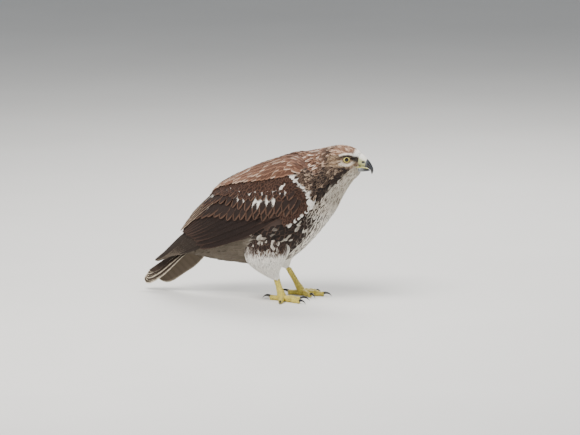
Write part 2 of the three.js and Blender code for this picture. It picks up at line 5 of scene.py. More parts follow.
import bpy
import numpy as np
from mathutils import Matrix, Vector


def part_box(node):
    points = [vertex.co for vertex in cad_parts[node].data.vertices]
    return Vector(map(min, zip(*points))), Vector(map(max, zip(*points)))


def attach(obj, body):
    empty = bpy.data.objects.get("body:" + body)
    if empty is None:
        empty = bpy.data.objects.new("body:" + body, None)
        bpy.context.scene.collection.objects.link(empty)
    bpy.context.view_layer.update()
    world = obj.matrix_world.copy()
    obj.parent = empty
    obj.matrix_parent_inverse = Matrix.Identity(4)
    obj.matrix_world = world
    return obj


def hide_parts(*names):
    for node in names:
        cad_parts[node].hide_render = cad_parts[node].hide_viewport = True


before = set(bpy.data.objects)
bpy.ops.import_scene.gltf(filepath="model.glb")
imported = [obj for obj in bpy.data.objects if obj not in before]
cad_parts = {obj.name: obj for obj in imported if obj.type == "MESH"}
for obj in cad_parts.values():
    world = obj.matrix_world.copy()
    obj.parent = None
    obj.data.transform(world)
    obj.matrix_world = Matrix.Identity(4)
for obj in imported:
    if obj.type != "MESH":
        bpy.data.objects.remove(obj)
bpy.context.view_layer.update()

# Sizes are millimetres in the bird's own frame: +X is ahead of it, +Y to its left and +Z up.
# put_mesh() turns them into metres of the row's frame.

# The trunk, neck and head as slanted sections, from the rump to the bill:
# upper edge x and z, lower edge x and z, half width, and how far the widest place sits below the middle
BODY = np.array([
    [-197, 120, -184, 76, 27, 0.0],
    [-176, 160, -158, 72, 40, 0.05],
    [-146, 202, -122, 70, 54, 0.1],
    [-108, 237, -80, 68, 66, 0.12],
    [-68, 263, -38, 72, 74, 0.12],
    [-30, 281, 2, 87, 77, 0.1],
    [2, 295, 38, 119, 75, 0.08],
    [28, 304, 66, 151, 68, 0.05],
    [46, 309, 90, 183, 59, 0.02],
    [60, 312, 107, 214, 49, 0.0],
    [73, 315.5, 121, 236, 41.5, 0.0],
    [86, 319, 131, 249.5, 36, 0.02],
    [99, 321.5, 139, 257, 32.5, 0.08],
    [112, 322, 144, 262.5, 28.5, 0.12],
    [125, 320.5, 146, 265.5, 24.5, 0.14],
    [137, 316.5, 146.5, 267.5, 20, 0.12],
    [145, 312.5, 146.3, 268.2, 16.5, 0.08],
    [150, 308.5, 146, 268.8, 13.5, 0.04],
])
HEAD_END = len(BODY) - 1

# What gives the face its character: place, reach and push of each swelling or hollow, on both sides
FACE_FORMS = [
    ((129, 21, 306), (13, 10, 4.4), (2.4, 5.2, 1.6)),  # brow ridge
    ((128, 25, 295), (13, 12, 8), (0, -4.2, 0)),  # eye socket
    ((143, 14, 292), (8, 10, 7), (0, -3.4, 0)),  # hollow before the eye
    ((108, 30, 284), (14, 12, 11), (0, 2.2, 0)),  # cheek
]

# Eyes and lids
EYE_AT = np.array([122.6, 14.4, 296.3])
EYE_RADIUS = 9.8
GAZE_LINE = np.array([0.42, 0.9, -0.04])
GAZE = GAZE_LINE / np.linalg.norm(GAZE_LINE)
LID_RING = 7.0
LID_OUT = math.sqrt(EYE_RADIUS**2 - LID_RING**2)
# The funnel in the skin round each eye: how far it stays behind the lids, its slope and its soft edge
SOCKET = {"gap": 0.8, "flare": 1.4, "soft": 0.6}

# The bill in the same kind of sections as the body, without the last number
CERE = np.array([
    [149.6, 307.2, 146.6, 281.4, 12.0],
    [151.2, 306.2, 147.6, 281.2, 11.6],
    [155, 303.8, 151.2, 280.6, 10.6],
    [159, 300.6, 155, 280.2, 9.4],
    [162.5, 297, 158.6, 279.8, 8.3],
    [163.4, 295.2, 159.6, 280.2, 7.2],
])
UPPER_BILL = np.array([
    [160.4, 297.2, 157.2, 280.2, 7.6],
    [162.9, 296.4, 159.2, 279.7, 7.8],
    [167.6, 291.6, 163, 278.7, 6.7],
    [172, 285.6, 166.4, 277.2, 5.4],
    [175.2, 279.2, 169.2, 275, 4.2],
    [176.2, 273.4, 170.8, 271.6, 3],
    [175, 268.8, 171.6, 268.4, 1.7],
    [173.1, 265.6, 172.6, 265.6, 0.5],
])
LOWER_BILL = np.array([
    [146.4, 280.2, 146.0, 269.4, 10.4],
    [154, 279.6, 152, 269.8, 8.8],
    [160, 278.5, 159, 270.4, 6.8],
    [165, 276.2, 164.4, 271.4, 4.6],
    [168.6, 273.7, 168.4, 272.4, 1.6],
])
NOSTRIL = ((157.4, 9.2, 290.4), (2.88, 3.4, 2.0))  # its middle and its reach
NOSTRIL_DEPTH = 2.6
GAPE = np.array([
    [166.4, 5.6, 277.6],
    [160.5, 8.9, 279.6],
    [154, 11.8, 280.6],
    [147.5, 14.4, 280.8],
    [141.5, 17.2, 280.0],
    [137, 19.4, 278.4],
])

# The folded wing as upright arcs from the back to the lower edge, front to rear:
# x, then y and z of the upper edge, of the point that draws the arc out, and of the lower edge
WING = np.array([
    [77, 69, 231, 73, 228, 70, 221],
    [66, 57, 262, 83, 256, 73, 203],
    [46, 43, 281, 90, 276, 76, 190],
    [14, 27, 294, 99, 288, 80, 167],
    [-36, 15, 280, 103, 270, 78, 143],
    [-86, 7, 260, 96, 246, 71, 124],
    [-146, 3, 228, 78, 208, 57, 106],
    [-190, 2.5, 193, 58, 172, 46, 95],
    [-232, 2.5, 146, 38, 132, 33, 88],
    [-300, 2.5, 76, 20, 72, 22, 60],
], float)
WING_DEPTH = np.array([[77, 5], [46, 18], [-36, 24], [-100, 26], [-150, 24], [-190, 12], [-214, 3.5]], float)
WING_PACKED = (2.9, -1.6, 3.6)  # height at the back, at the lower edge, and its fall to the rear
WING_SLANT = 0.62  # how far small wing feathers turn down from straight back

# The tail: where it leaves the rump, its length and slope, and how its folded feathers form a roof
TAIL_ROOT = np.array([-138.0, 0, 139])
TAIL_LENGTH = 200
TAIL_STEP = {"left": -1, "right": 3.6}  # how much further each feather reaches than its inner neighbour
TAIL_SLOPE = math.radians(35)
TAIL_LIFT = 20
TAIL_CREST = 8
TAIL_FALL = {"left": math.radians(66), "right": math.radians(58)}
TAIL_LEFT_WIDER = 0.5
TAIL_PAIRS = 6
TAIL_LAYER = 1.16
TAIL_EDGE = (15, 4.5)
TAIL_START = 48
TAIL_CORE = np.array([[40, 30, 20], [58, 28, 17], [76, 25, 11], [96, 21, 5.5], [112, 16, 3.2]], float)

# The feathered thigh, level sections from the belly to its hem: x, y, z, reach along x and across
THIGH = np.array([
    [-26, 38, 150, 34, 20],
    [-33, 46, 124, 45, 28],
    [-38, 48, 100, 46, 28],
    [-41, 46.5, 79, 38, 24],
    [-36, 44, 62, 24, 16.5],
    [-24, 42.6, 49, 11, 10],
], float)

# The legs: side, heel and foot, how far the hem is drawn back and lifted, and the toes
Toe = namedtuple("Toe", "heading length claw joints")
LEGS = {
    "right": {
        "side": -1, "heel": (-32, 42, 84), "foot": (-6, 42, 8.6), "back": 0, "lift": 0,
        "toes": {
            "back": Toe(math.radians(164), 30, 27, 1),
            "inner": Toe(math.radians(18), 37, 26, 2),
            "middle": Toe(math.radians(-22), 48, 22, 3),
            "outer": Toe(math.radians(-76), 37, 18, 3),
        },
    },
    "left": {
        "side": 1, "heel": (-40, 42, 80), "foot": (6, 42, 8.6), "back": 9, "lift": 11,
        "toes": {
            "back": Toe(math.radians(180), 30, 27, 1),
            "inner": Toe(math.radians(-41), 37, 26, 2),
            "middle": Toe(math.radians(3), 48, 22, 3),
            "outer": Toe(math.radians(58), 37, 18, 3),
        },
    },
}
# Sizes of shank, toes and claws; the shank's skin starts a share of the way down from the heel, and its
# sole is rounded below the foot by another share; pads hang lower than toes are wide
SHANK = {"long": 6.4, "wide": 5.4, "pad": 8.8, "start": 0.34, "sole": 0.115}
TOE = {"root": 5.6, "tip": 4.3, "swell": 0.75, "height": 4.7, "arch": 1.6, "knuckle": 2.2, "pad": 1.28}
CLAW = {"tall": 3.3, "wide": 2.5, "tip": 0.15, "sunk": 2.5}
CLAW_UP = math.radians(34)  # how steeply a claw leaves its toe
CLAW_DOWN = math.radians(-62)  # and meets the floor
# Plates down the shank and along the toes: where they start, how many or how far apart, and how they rise
SCUTES = {"shank_top": 72, "shank_count": 15, "shank_rise": 0.75, "toe_pitch": 3.1, "toe_rise": 0.6}
SOLE_CLEARANCE = 0.02  # of the skin over the floor

# Depth of the coat over the skin, by row of BODY, and elsewhere
COAT_ROWS = (0, 6, 9, 12, 15, 17)
COAT_DEPTHS = (4.2, 4.2, 3.6, 2.4, 1.4, 1.1)
THIGH_COAT = 3.6
WING_COAT = 3.0
TAIL_SKIN = {"coat": 1.6, "short": 6}  # its depth under the coat, and how far it ends before the core does
THIGH_SKIN_END = 0.97  # as a share of the thigh


# Small tools on whole arrays

def smooth(low, high, value):
    """0 below low, 1 above high, and the soft cubic t * t * (3 - 2 * t) between."""
    t = np.clip((value - low) / (high - low), 0, 1)
    return t * t * (3 - 2 * t)


def mix(a, b, t):
    return a + (b - a) * t


def unit(v):
    return v / np.maximum(np.linalg.norm(v, axis=-1, keepdims=True), 1e-9)


def rows_at(table, at):
    """A table's rows at fractional row numbers: a cubic through the four nearest, straight past each end."""
    last = len(table) - 1
    inside = np.clip(at, 0, last)
    i = np.minimum(inside.astype(int), last - 1)
    t = (inside - i)[..., None]
    a, b, c, d = (table[np.clip(i + k, 0, last)] for k in (-1, 0, 1, 2))
    bend = 2 * a - 5 * b + 4 * c - d
    twist = 3 * b - a - 3 * c + d
    value = 0.5 * (2 * b + (c - a) * t + bend * t**2 + twist * t**3)
    slope = 0.5 * ((c - a) + 2 * bend * t + 3 * twist * t**2)
    return value + slope * (at - inside)[..., None]


def row_of(table, x):
    """The fractional row number where a table's falling first column has the value x."""
    at = np.interp(-x, -table[:, 0], np.arange(len(table)))
    ahead = np.maximum(x - table[0, 0], 0) / (table[0, 0] - table[1, 0])
    behind = np.maximum(table[-1, 0] - x, 0) / (table[-2, 0] - table[-1, 0])
    return at - ahead + behind


# Where the cells of the random grain start, and the primes that scatter their numbers
GRAIN_START = 97.3
GRAIN_KEYS = (73856093, 19349663, 83492791, 2654435761)
GRAIN_RANGE = 1000003
GRAIN_STRIDE = 7919


def grain(p, size, seed):
    """Soft random values from 0 to 1: one for each corner of a grid of cells, blended inside each cell."""
    q = p / size + GRAIN_START
    cell = np.floor(q).astype(np.int64)
    t = q - cell
    t = t * t * (3 - 2 * t)
    total = 0
    for corner in np.ndindex(2, 2, 2):
        x, y, z = np.moveaxis(cell + np.array(corner), -1, 0)
        mixed = x * GRAIN_KEYS[0] ^ y * GRAIN_KEYS[1] ^ z * GRAIN_KEYS[2] ^ seed * GRAIN_KEYS[3]
        value = ((mixed % GRAIN_RANGE) * GRAIN_STRIDE % GRAIN_RANGE) / GRAIN_RANGE
        share = np.prod(np.where(np.array(corner), t, 1 - t), axis=-1)
        total = total + value * share
    return total


def paint(*rgb):
    """A colour given as red, green and blue from 0 to 255 on a screen, as the light it reflects."""
    c = np.array(rgb) / 255
    return np.where(c <= 0.04045, c / 12.92, ((c + 0.055) / 1.055) ** 2.4)


# The bird's surfaces, each a function of two parameters

def mirrored(spot, side):
    """A place given for the left side, on either side."""
    return spot * np.array([1, side, 1])


def eye_offset(p, side):
    """Distance of points from an eye's gaze line, height along it, the way out from it, and the line."""
    gaze = mirrored(GAZE, side)
    off = p - mirrored(EYE_AT, side)
    height = off @ gaze
    flat = off - height[..., None] * gaze
    return np.linalg.norm(flat, axis=-1), height, unit(flat), gaze


def body_place(row, angle, grow=0.0):
    """Slanted rings: mid + half axis * (cos a - sag * sin(a)^2) upward and half width * sin a across,
    then the forms of the face as bell-shaped pushes exp(-off^2), and a funnel round each eye."""
    top_x, top_z, low_x, low_z, half, sag = np.moveaxis(rows_at(BODY, row), -1, 0)
    reach = np.hypot(top_x - low_x, top_z - low_z) / 2
    rise = (np.cos(angle) - sag * np.sin(angle) ** 2) * (1 + grow / reach)
    x = (top_x + low_x) / 2 + (top_x - low_x) / 2 * rise
    y = (half + grow) * np.sin(angle)
    z = (top_z + low_z) / 2 + (top_z - low_z) / 2 * rise
    p = np.stack([x, y, z], -1)
    side = np.where(np.sin(angle) < 0, -1.0, 1.0)
    fold = np.minimum(1, np.abs(np.sin(angle)) * 3)
    for at, across, push in FACE_FORMS:
        off = (p * np.stack([np.ones_like(side), side, np.ones_like(side)], -1) - at) / across
        share = np.exp(-np.sum(off**2, axis=-1))
        p = p + np.stack([push[0] * share, push[1] * share * side * fold, push[2] * share], -1)
    for one in (-1, 1):
        out, height, _, gaze = eye_offset(p, one)
        room = LID_OUT - SOCKET["gap"] + np.maximum(out - LID_RING, 0) * SOCKET["flare"]
        over = (height - room) * (height > 0)
        sunk = SOCKET["soft"] * np.logaddexp(0, over / SOCKET["soft"]) * (height > 0)
        p = p - (sunk * (sunk > 0.02))[..., None] * gaze
    return p


def body_lie(place, run):
    """Backward from the bill, bent so that it parts round each eye."""
    run = -unit(run)
    for side in (-1, 1):
        out, height, away, _ = eye_offset(place, side)
        near = smooth(19, 8, out) * (height > -2)
        inward = np.minimum(np.sum(run * away, axis=-1), 0)
        run = run - (1.15 * inward * near)[..., None] * away
    return unit(run)


def wing_place(side):
    """Upright arcs (1-t)^2 top + 2t(1-t) middle + t^2 low over the folded wing, at x and a share t down."""
    def place(x, t):
        row = rows_at(WING, row_of(WING, x))
        a, b, c = (1 - t) ** 2, 2 * t * (1 - t), t * t
        y = a * row[..., 1] + b * row[..., 3] + c * row[..., 5]
        z = a * row[..., 2] + b * row[..., 4] + c * row[..., 6]
        return np.stack([x + 0 * y, side * y, z], -1)
    return place


def packed_height(x, t):
    """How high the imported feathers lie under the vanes: most at the back, least at the lower edge."""
    back, edge, fall = WING_PACKED
    return mix(back, edge, smooth(0.1, 0.7, t)) - fall * smooth(90, 190, -x)


def tail_place(down, left, height=0.0):
    """A roof over a sloping line: each side has its own fall, and a hyperbola joins them at the crest."""
    down, left, height = np.broadcast_arrays(down, left, height)
    share = down / TAIL_LENGTH
    fall_left = TAIL_FALL["left"] * smooth(0.1, 0.65, share)
    fall_right = TAIL_FALL["right"] * smooth(0.27, 0.92, share)
    wide = 1 + TAIL_LEFT_WIDER * smooth(0.3, 0.8, share)
    left_way = wide[..., None] * np.stack([np.cos(fall_left), -np.sin(fall_left)], -1)
    right_way = np.stack([-np.cos(fall_right), -np.sin(fall_right)], -1)
    both, apart = left_way + right_way, left_way - right_way
    bend = np.hypot(left, TAIL_CREST)
    spot = (both * (bend - TAIL_CREST)[..., None] + apart * left[..., None]) / 2
    run = (both * (left / bend)[..., None] + apart) / 2
    lift = height / np.hypot(run[..., 0], run[..., 1])
    rise = TAIL_LIFT * smooth(0.05, 0.8, share) + spot[..., 1] + lift * run[..., 0]
    back = np.array([-math.cos(TAIL_SLOPE), 0, -math.sin(TAIL_SLOPE)])
    up = np.array([-math.sin(TAIL_SLOPE), 0, math.cos(TAIL_SLOPE)])
    across = np.array([0, 1.0, 0])
    aside = spot[..., 0] - lift * run[..., 1]
    return TAIL_ROOT + down[..., None] * back + rise[..., None] * up + aside[..., None] * across


def tail_core_place(down, angle, grow=0.0):
    """Flat ovals round the tail's root: half * sin a across, tall * cos a up from a line under the vanes."""
    core = rows_at(TAIL_CORE, np.interp(down, TAIL_CORE[:, 0], np.arange(len(TAIL_CORE))))
    drop = TAIL_LAYER * TAIL_PAIRS * 0.5
    half = core[..., 1] + grow
    tall = core[..., 2] + grow
    return tail_place(down, half * np.sin(angle), tall * np.cos(angle) - drop)


def thigh_place(leg):
    """Level ovals: x + reach * cos a and y + wide * sin a, drawn back and lifted towards the hem."""
    def place(s, angle, grow=0.0):
        x, y, z, reach, wide = np.moveaxis(rows_at(THIGH, s * (len(THIGH) - 1)), -1, 0)
        return np.stack([
            x - leg["back"] * s + (reach + grow) * np.cos(angle),
            leg["side"] * (y + (wide + grow) * np.sin(angle)),
            z + leg["lift"] * s + 0 * angle,
        ], -1)
    return place


def section_place(table):
    """Rings drawn between an upper and a lower edge, at a share s of the table's length."""
    def place(s, angle):
        top_x, top_z, low_x, low_z, half = np.moveaxis(rows_at(table, s * (len(table) - 1)), -1, 0)
        rise = np.cos(angle)
        return np.stack([
            (top_x + low_x) / 2 + (top_x - low_x) / 2 * rise,
            half * np.sin(angle),
            (top_z + low_z) / 2 + (top_z - low_z) / 2 * rise,
        ], -1)
    return place


# place: the function; steps: small steps of its parameters; lie: which way feathers lie; outward: 1 or -1;
# span: the ranges of both parameters, for the unwrap
Surface = namedtuple("Surface", "place steps lie outward span")


def frames(surface, u, v):
    """Points of a surface, its two directions there and its outward normal, from small steps both ways."""
    eu, ev = surface.steps
    point = surface.place(u, v)
    along = (surface.place(u + eu, v) - surface.place(u - eu, v)) / (2 * eu)
    across = (surface.place(u, v + ev) - surface.place(u, v - ev)) / (2 * ev)
    return point, along, across, unit(np.cross(along, across)) * surface.outward


def in_parameters(along, across, step):
    """The change of both parameters that moves a point by a step in the surface: a two-by-two system."""
    aa = np.sum(along * along, axis=-1)
    ab = np.sum(along * across, axis=-1)
    bb = np.sum(across * across, axis=-1)
    sa = np.sum(step * along, axis=-1)
    sb = np.sum(step * across, axis=-1)
    det = np.maximum(aa * bb - ab * ab, 1e-9)
    return (sa * bb - sb * ab) / det, (sb * aa - sa * ab) / det


# Row frame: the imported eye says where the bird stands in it
EYE_BOX = [np.array(corner) * 1000 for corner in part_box("eye_right")]
SHIFT = (EYE_BOX[0] + EYE_BOX[1]) / 2 - mirrored(EYE_AT, -1)


def to_row(points):
    """Points of the bird's frame as metres of the row's."""
    return (points + SHIFT) / 1000


def put_object(name, data):
    piece = bpy.data.objects.new(name, data)
    bpy.context.scene.collection.objects.link(piece)
    return piece


def put_values(mesh, name, values):
    """A point attribute: a colour where each point has four values, otherwise a number."""
    kind, field = ("FLOAT_COLOR", "color") if values.ndim == 2 else ("FLOAT", "value")
    layer = mesh.attributes.new(name, kind, "POINT")
    layer.data.foreach_set(field, values.astype(np.float32).ravel())


def with_alpha(colours):
    return np.hstack([colours, np.ones((len(colours), 1))])


def corners_of(faces):
    return np.concatenate([f.ravel() for f in faces])


def tube_quads(steps, around, rings):
    """Four-sided faces between rings of points. With a step for each ring, the last ring meets the first."""
    k, j = np.meshgrid(np.arange(steps), np.arange(around), indexing="ij")
    here, ahead, aside = k * around, (k + 1) % rings * around, (j + 1) % around
    return np.stack([here + j, here + aside, ahead + aside, ahead + j], -1).reshape(-1, 4)


def put_mesh(name, points, faces, colours=None, uvs=None, sharp=45):
    """A mesh object from points in the bird's frame, lists of equal-sided faces, colours and corner maps."""
    corners = corners_of(faces)
    sizes = np.concatenate([np.full(len(f), f.shape[1]) for f in faces])
    mesh = bpy.data.meshes.new(name)
    mesh.vertices.add(len(points))
    mesh.vertices.foreach_set("co", to_row(points).astype(np.float32).ravel())
    mesh.loops.add(len(corners))
    mesh.loops.foreach_set("vertex_index", corners.astype(np.int32))
    mesh.polygons.add(len(sizes))
    mesh.polygons.foreach_set("loop_start", (np.cumsum(sizes) - sizes).astype(np.int32))
    for key, values in (colours or {}).items():
        put_values(mesh, key, values)
    for key, values in (uvs or {}).items():
        layer = mesh.uv_layers.new(name=key)
        layer.uv.foreach_set("vector", values.astype(np.float32).ravel())
    mesh.update(calc_edges=True)
    mesh.shade_smooth()
    mesh.set_sharp_from_angle(angle=math.radians(sharp))
    return put_object(name, mesh)


def facing_out(points, faces):
    """The faces, turned round where the volume they enclose comes out below zero."""
    quads = faces[0]
    a, b, c, d = (points[quads[:, k]] for k in range(4))
    volume = np.sum(np.cross(a, b) * c) + np.sum(np.cross(a, c) * d)
    return faces if volume > 0 else [f[:, ::-1] for f in faces]


def loft(place, rows, around):
    """A closed skin: place(s, angle) on a grid, s from 0 to 1 and the angle once round, each end drawn to
    its middle."""
    turns = np.arange(around) * 2 * np.pi / around
    grid = place(*np.meshgrid(np.linspace(0, 1, rows + 1), turns, indexing="ij"))
    ends = np.stack([grid[0].mean(0), grid[-1].mean(0)])
    points = np.concatenate([grid.reshape(-1, 3), ends])
    j = np.arange(around)
    aside = (j + 1) % around
    last_ring, ends_at = rows * around, len(points) - 2
    first = np.stack([aside, j, np.full(around, ends_at)], -1)
    last = np.stack([last_ring + j, last_ring + aside, np.full(around, ends_at + 1)], -1)
    return points, facing_out(points, [tube_quads(rows, around, rows + 1), np.concatenate([first, last])])


def joined(parts):
    """Several (points, faces) as one, each face list kept with those of the same number of sides."""
    points, groups, count = [], {}, 0
    for spots, faces in parts:
        points.append(spots)
        for face in faces:
            groups.setdefault(face.shape[1], []).append(face + count)
        count += len(spots)
    return np.concatenate(points), [np.concatenate(groups[size]) for size in sorted(groups, reverse=True)]


def melted(name, parts, voxel, rounds):
    """The parts as one skin: a voxel remesh of the joined closed forms, then rounds of smoothing."""
    points, faces = joined(parts)
    rough = put_mesh(name + "_rough", points, faces)
    remesh = rough.modifiers.new("one_skin", "REMESH")
    remesh.mode = "VOXEL"
    remesh.voxel_size = voxel / 1000
    ease = rough.modifiers.new("ease", "SMOOTH")
    ease.factor = 0.5
    ease.iterations = rounds
    bpy.context.view_layer.update()
    mesh = bpy.data.meshes.new_from_object(rough.evaluated_get(bpy.context.evaluated_depsgraph_get()))
    bpy.data.objects.remove(rough)
    mesh.name = name
    mesh.shade_smooth()
    return put_object(name, mesh)


def points_of(piece):
    """The vertices of a piece, in the bird's frame."""
    spots = np.zeros(len(piece.data.vertices) * 3, np.float32)
    piece.data.vertices.foreach_get("co", spots)
    return spots.reshape(-1, 3).astype(float) * 1000 - SHIFT


# Feathers: closed vanes that follow a surface

# Shares of a feather's length where its rings lie, for small, larger and flight feathers
SMALL = np.array([0, 0.3, 0.58, 0.8, 0.94, 1.0])
LARGE = np.array([0, 0.14, 0.3, 0.46, 0.62, 0.76, 0.87, 0.94, 0.98, 1.0])
LONG = np.concatenate([np.linspace(0, 0.9, 13), [0.945, 0.975, 0.992, 1.0]])
TIP_AT = 0.995  # a vane's last ring lies this near its point, so that its end face has a width
YAW = 0.09  # how far small feathers stray from the lie of the coat, in radians
LEAN = 0.03  # how far they tip about their spine


def spines_by_lie(surface, u, v, length, yaw, shares):
    """Parameters of each spine: from its root it steps along the lie of the coat, turned by its yaw."""
    spine = [(u, v)]
    for step in np.diff(shares):
        p, along, across, normal = frames(surface, u, v)
        run = surface.lie(p, along, across)
        turn = yaw[..., None]
        run = run * np.cos(turn) + np.cross(normal, run) * np.sin(turn)
        du, dv = in_parameters(along, across, run * (length * step)[..., None])
        u, v = u + du, v + dv
        spine.append((u, v))
    return np.stack([s[0] for s in spine], 1), np.stack([s[1] for s in spine], 1)


def spines_between(root, tip, shares):
    """Parameters of each spine on a straight line from root to tip."""
    return tuple(start[:, None] + (end - start)[:, None] * shares for start, end in zip(root, tip))


def vane_points(surface, spine, shares, half, blunt=5.0, rise=0.5, sink=4.0, settle=1.0, lean=0.0, crown=0.4,
                columns=2, thick=0.0, cup=0.0, base=0.42):
    """Rings of points of many vanes, at s along the spine and r from -1 to 1 across it.
    The width is half * (base + (1 - base) * smooth(0, .45, s)) * sqrt(1 - s^blunt).
    The height is rise - sink * (1 - smooth(0, settle, s)) + lean * off + crown * (1 - r^2) * w - cup * r^2,
    where off is the distance from the spine and w the width over half. The underside lies thick below."""
    p, along, across, normal = frames(surface, *spine)
    run = unit(np.gradient(p, axis=1))
    aside = unit(np.cross(normal, run))
    au, av = in_parameters(along, across, aside)
    top = np.linspace(-1, 1, columns + 1)
    under = top[::-1][1:-1] if np.any(thick) else top[:0]
    r = np.concatenate([top, under])
    face = np.concatenate([np.ones(len(top)), -np.ones(len(under))])
    s = shares[None, :, None]
    each = lambda value: np.broadcast_to(np.asarray(value, float), half.shape)[:, None, None]
    width = (base + (1 - base) * smooth(0, 0.45, s)) * np.sqrt(1 - (TIP_AT * s) ** each(blunt))
    off = each(half) * width * r
    u = spine[0][..., None] + au[..., None] * off
    v = spine[1][..., None] + av[..., None] * off
    bulge = (1 - r * r) * width
    height = each(rise) - each(sink) * (1 - smooth(0, settle, s)) + each(lean) * off
    height = height + each(crown) * bulge - each(cup) * r * r + face * each(thick) / 2 * (1 - r * r)
    points = surface.place(u, v) + normal[:, :, None, :] * height[..., None]
    local = np.stack(np.broadcast_arrays((r + 1) / 2, s), -1)
    return points, np.broadcast_to(local, points.shape[:-1] + (2,))


def vane_faces(count, rows, ring):
    """Faces of closed tubes of rings, each end closed by one face."""
    ends = np.stack([np.arange(ring)[::-1], (rows - 1) * ring + np.arange(ring)])
    shift = (np.arange(count) * rows * ring)[:, None, None]
    return (tube_quads(rows - 1, ring, rows) + shift).reshape(-1, 4), (ends + shift).reshape(-1, ring)


class Coat:
    """Feathers gathered into one piece, with their colours, own maps and places on the unwrap."""

    PATCH = 0.003  # across, of the unwrap, for one feather
    MARGIN = 0.004
    REACH = 1 - 2 * MARGIN - PATCH

    def __init__(self):
        self.points, self.faces, self.count = [], {}, 0
        self.colours = {"ground": [], "centre": [], "kind": []}
        self.vane, self.bake = [], []

    def add(self, surface, spine, shares, markings, half, cell=(0, 0, 1, 1), **form):
        """Adds a vane for each spine. Its patch lies where its root does, in the surface's own cell."""
        if len(half) == 0:
            return
        points, local = vane_points(surface, spine, shares, half, **form)
        count, rows, ring = points.shape[:3]
        quads, ends = vane_faces(count, rows, ring)
        flat = points.reshape(-1, 3)
        quads, ends = facing_out(flat, [quads, ends])
        for face in (quads, ends):
            self.faces.setdefault(face.shape[1], []).append(face + self.count)
        self.count += len(flat)
        self.points.append(flat)
        ground, centre, kind = markings
        for key, values in zip(self.colours, (with_alpha(ground), with_alpha(centre), kind)):
            spread = np.broadcast_to(values[:, None, None, :], (count, rows, ring, 4))
            self.colours[key].append(spread.reshape(-1, 4))
        (u0, u1), (v0, v1) = surface.span
        share = np.stack([(spine[0][:, 0] - u0) / (u1 - u0), (spine[1][:, 0] - v0) / (v1 - v0) % 1.0], -1)
        corner = self.MARGIN + self.REACH * (np.array(cell[:2]) + np.clip(share, 0, 1) * np.array(cell[2:]))
        self.vane.append(local.reshape(-1, 2))
        self.bake.append((corner[:, None, None, :] + local * self.PATCH).reshape(-1, 2))

    def finish(self, name, material, slot):
        faces = [np.concatenate(self.faces[size]) for size in sorted(self.faces, reverse=True)]
        corners = corners_of(faces)
        colours = {key: np.concatenate(values) for key, values in self.colours.items()}
        uvs = {"OFBake": np.concatenate(self.bake)[corners], "vane": np.concatenate(self.vane)[corners]}
        piece = put_mesh(name, np.concatenate(self.points), faces, colours, uvs)
        return dress(piece, material, slot)


def one_coat(name, material, slot, *vanes, **form):
    """A piece from one set of vanes."""
    coat = Coat()
    coat.add(*vanes, **form)
    return coat.finish(name, material, slot)


ROW_SAMPLES = 121
STRAY_ACROSS = 0.34  # of the gap between roots
STRAY_ALONG = 0.3  # of the step from row to row


def rooted_rows(surface, start, stop, pitch, gap, draw, sideways=None):
    """Roots in staggered rows, gap(u) mm apart by arc length. Where the surface runs fastest, a row lies
    pitch(u) mm past the one before. Elsewhere roots are dropped, so that their number follows area."""
    line = np.linspace(*(sideways or surface.span[1]), ROW_SAMPLES)
    step = math.copysign(1, stop - start)
    u, rows, turn = start, [], 0
    while (stop - u) * step > 0:
        eu = surface.steps[0]
        at = surface.place(np.full_like(line, u), line)
        speed = np.linalg.norm(surface.place(np.full_like(line, u + eu), line) - at, axis=-1) / eu
        arc = np.concatenate([[0], np.cumsum(np.linalg.norm(np.diff(at, axis=0), axis=-1))])
        count = max(3, int(arc[-1] / gap(u)))
        stray = STRAY_ACROSS * draw.uniform(-1, 1, count)
        spot = (np.arange(count) + 0.5 * (turn % 2) + stray) / count * arc[-1]
        v = np.interp(spot % arc[-1], arc, line)
        local = np.interp(v, line, speed)
        keep = draw.uniform(size=count) < local / speed.max()
        advance = pitch(u) / speed.max()
        jitter = STRAY_ALONG * advance * draw.uniform(-1, 1, count)
        rows.append(np.stack([u + jitter, v], -1)[keep])
        u += step * advance
        turn += 1
    spots = np.concatenate(rows)
    return spots[:, 0], spots[:, 1]


def dress(piece, material, slot, *replaced):
    """Gives a piece its material, lets it ride the one body and stand for the nodes it replaces; the slot is
    not used.
    """
    piece.data.materials.clear()
    piece.data.materials.append(material)
    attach(piece, "root")
    if replaced:
        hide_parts(*replaced)
    return piece


# Materials

def feed(tree, socket, value):
    """Links a socket, or sets its own value."""
    if isinstance(value, bpy.types.NodeSocket):
        tree.links.new(value, socket)
    else:
        socket.default_value = value


def new_node(tree, kind, **inputs):
    """A shader node with some of its inputs fed by name."""
    node = tree.nodes.new("ShaderNode" + kind)
    for label, value in inputs.items():
        feed(tree, node.inputs[label], value)
    return node


def calc(tree, operation, *values):
    """A Math node on sockets and plain numbers; gives its result."""
    node = new_node(tree, "Math")
    node.operation = operation
    for socket, value in zip(node.inputs, values):
        feed(tree, socket, value)
    return node.outputs[0]


def ramp(tree, value, low, high):
    """A value carried softly from the range low to high into 0 to 1."""
    node = new_node(tree, "MapRange")
    node.interpolation_type = "SMOOTHSTEP"
    for socket, number in zip(node.inputs, (value, low, high)):
        feed(tree, socket, number)
    return node.outputs[0]


def blend(tree, share, first, second, kind="MIX"):
    """Two colours mixed by a share."""
    node = new_node(tree, "Mix")
    node.data_type = "RGBA"
    node.blend_type = kind
    for place, value in ((0, share), (6, first), (7, second)):
        feed(tree, node.inputs[place], value)
    return node.outputs[2]


def noise(tree, vector, scale, detail=3.0):
    return new_node(tree, "TexNoise", Vector=vector, Scale=scale, Detail=detail).outputs["Fac"]


def cells(tree, vector, scale):
    """Distance to the nearest edge of a pattern of random cells."""
    node = new_node(tree, "TexVoronoi", Vector=vector, Scale=scale)
    node.feature = "DISTANCE_TO_EDGE"
    return node.outputs["Distance"]


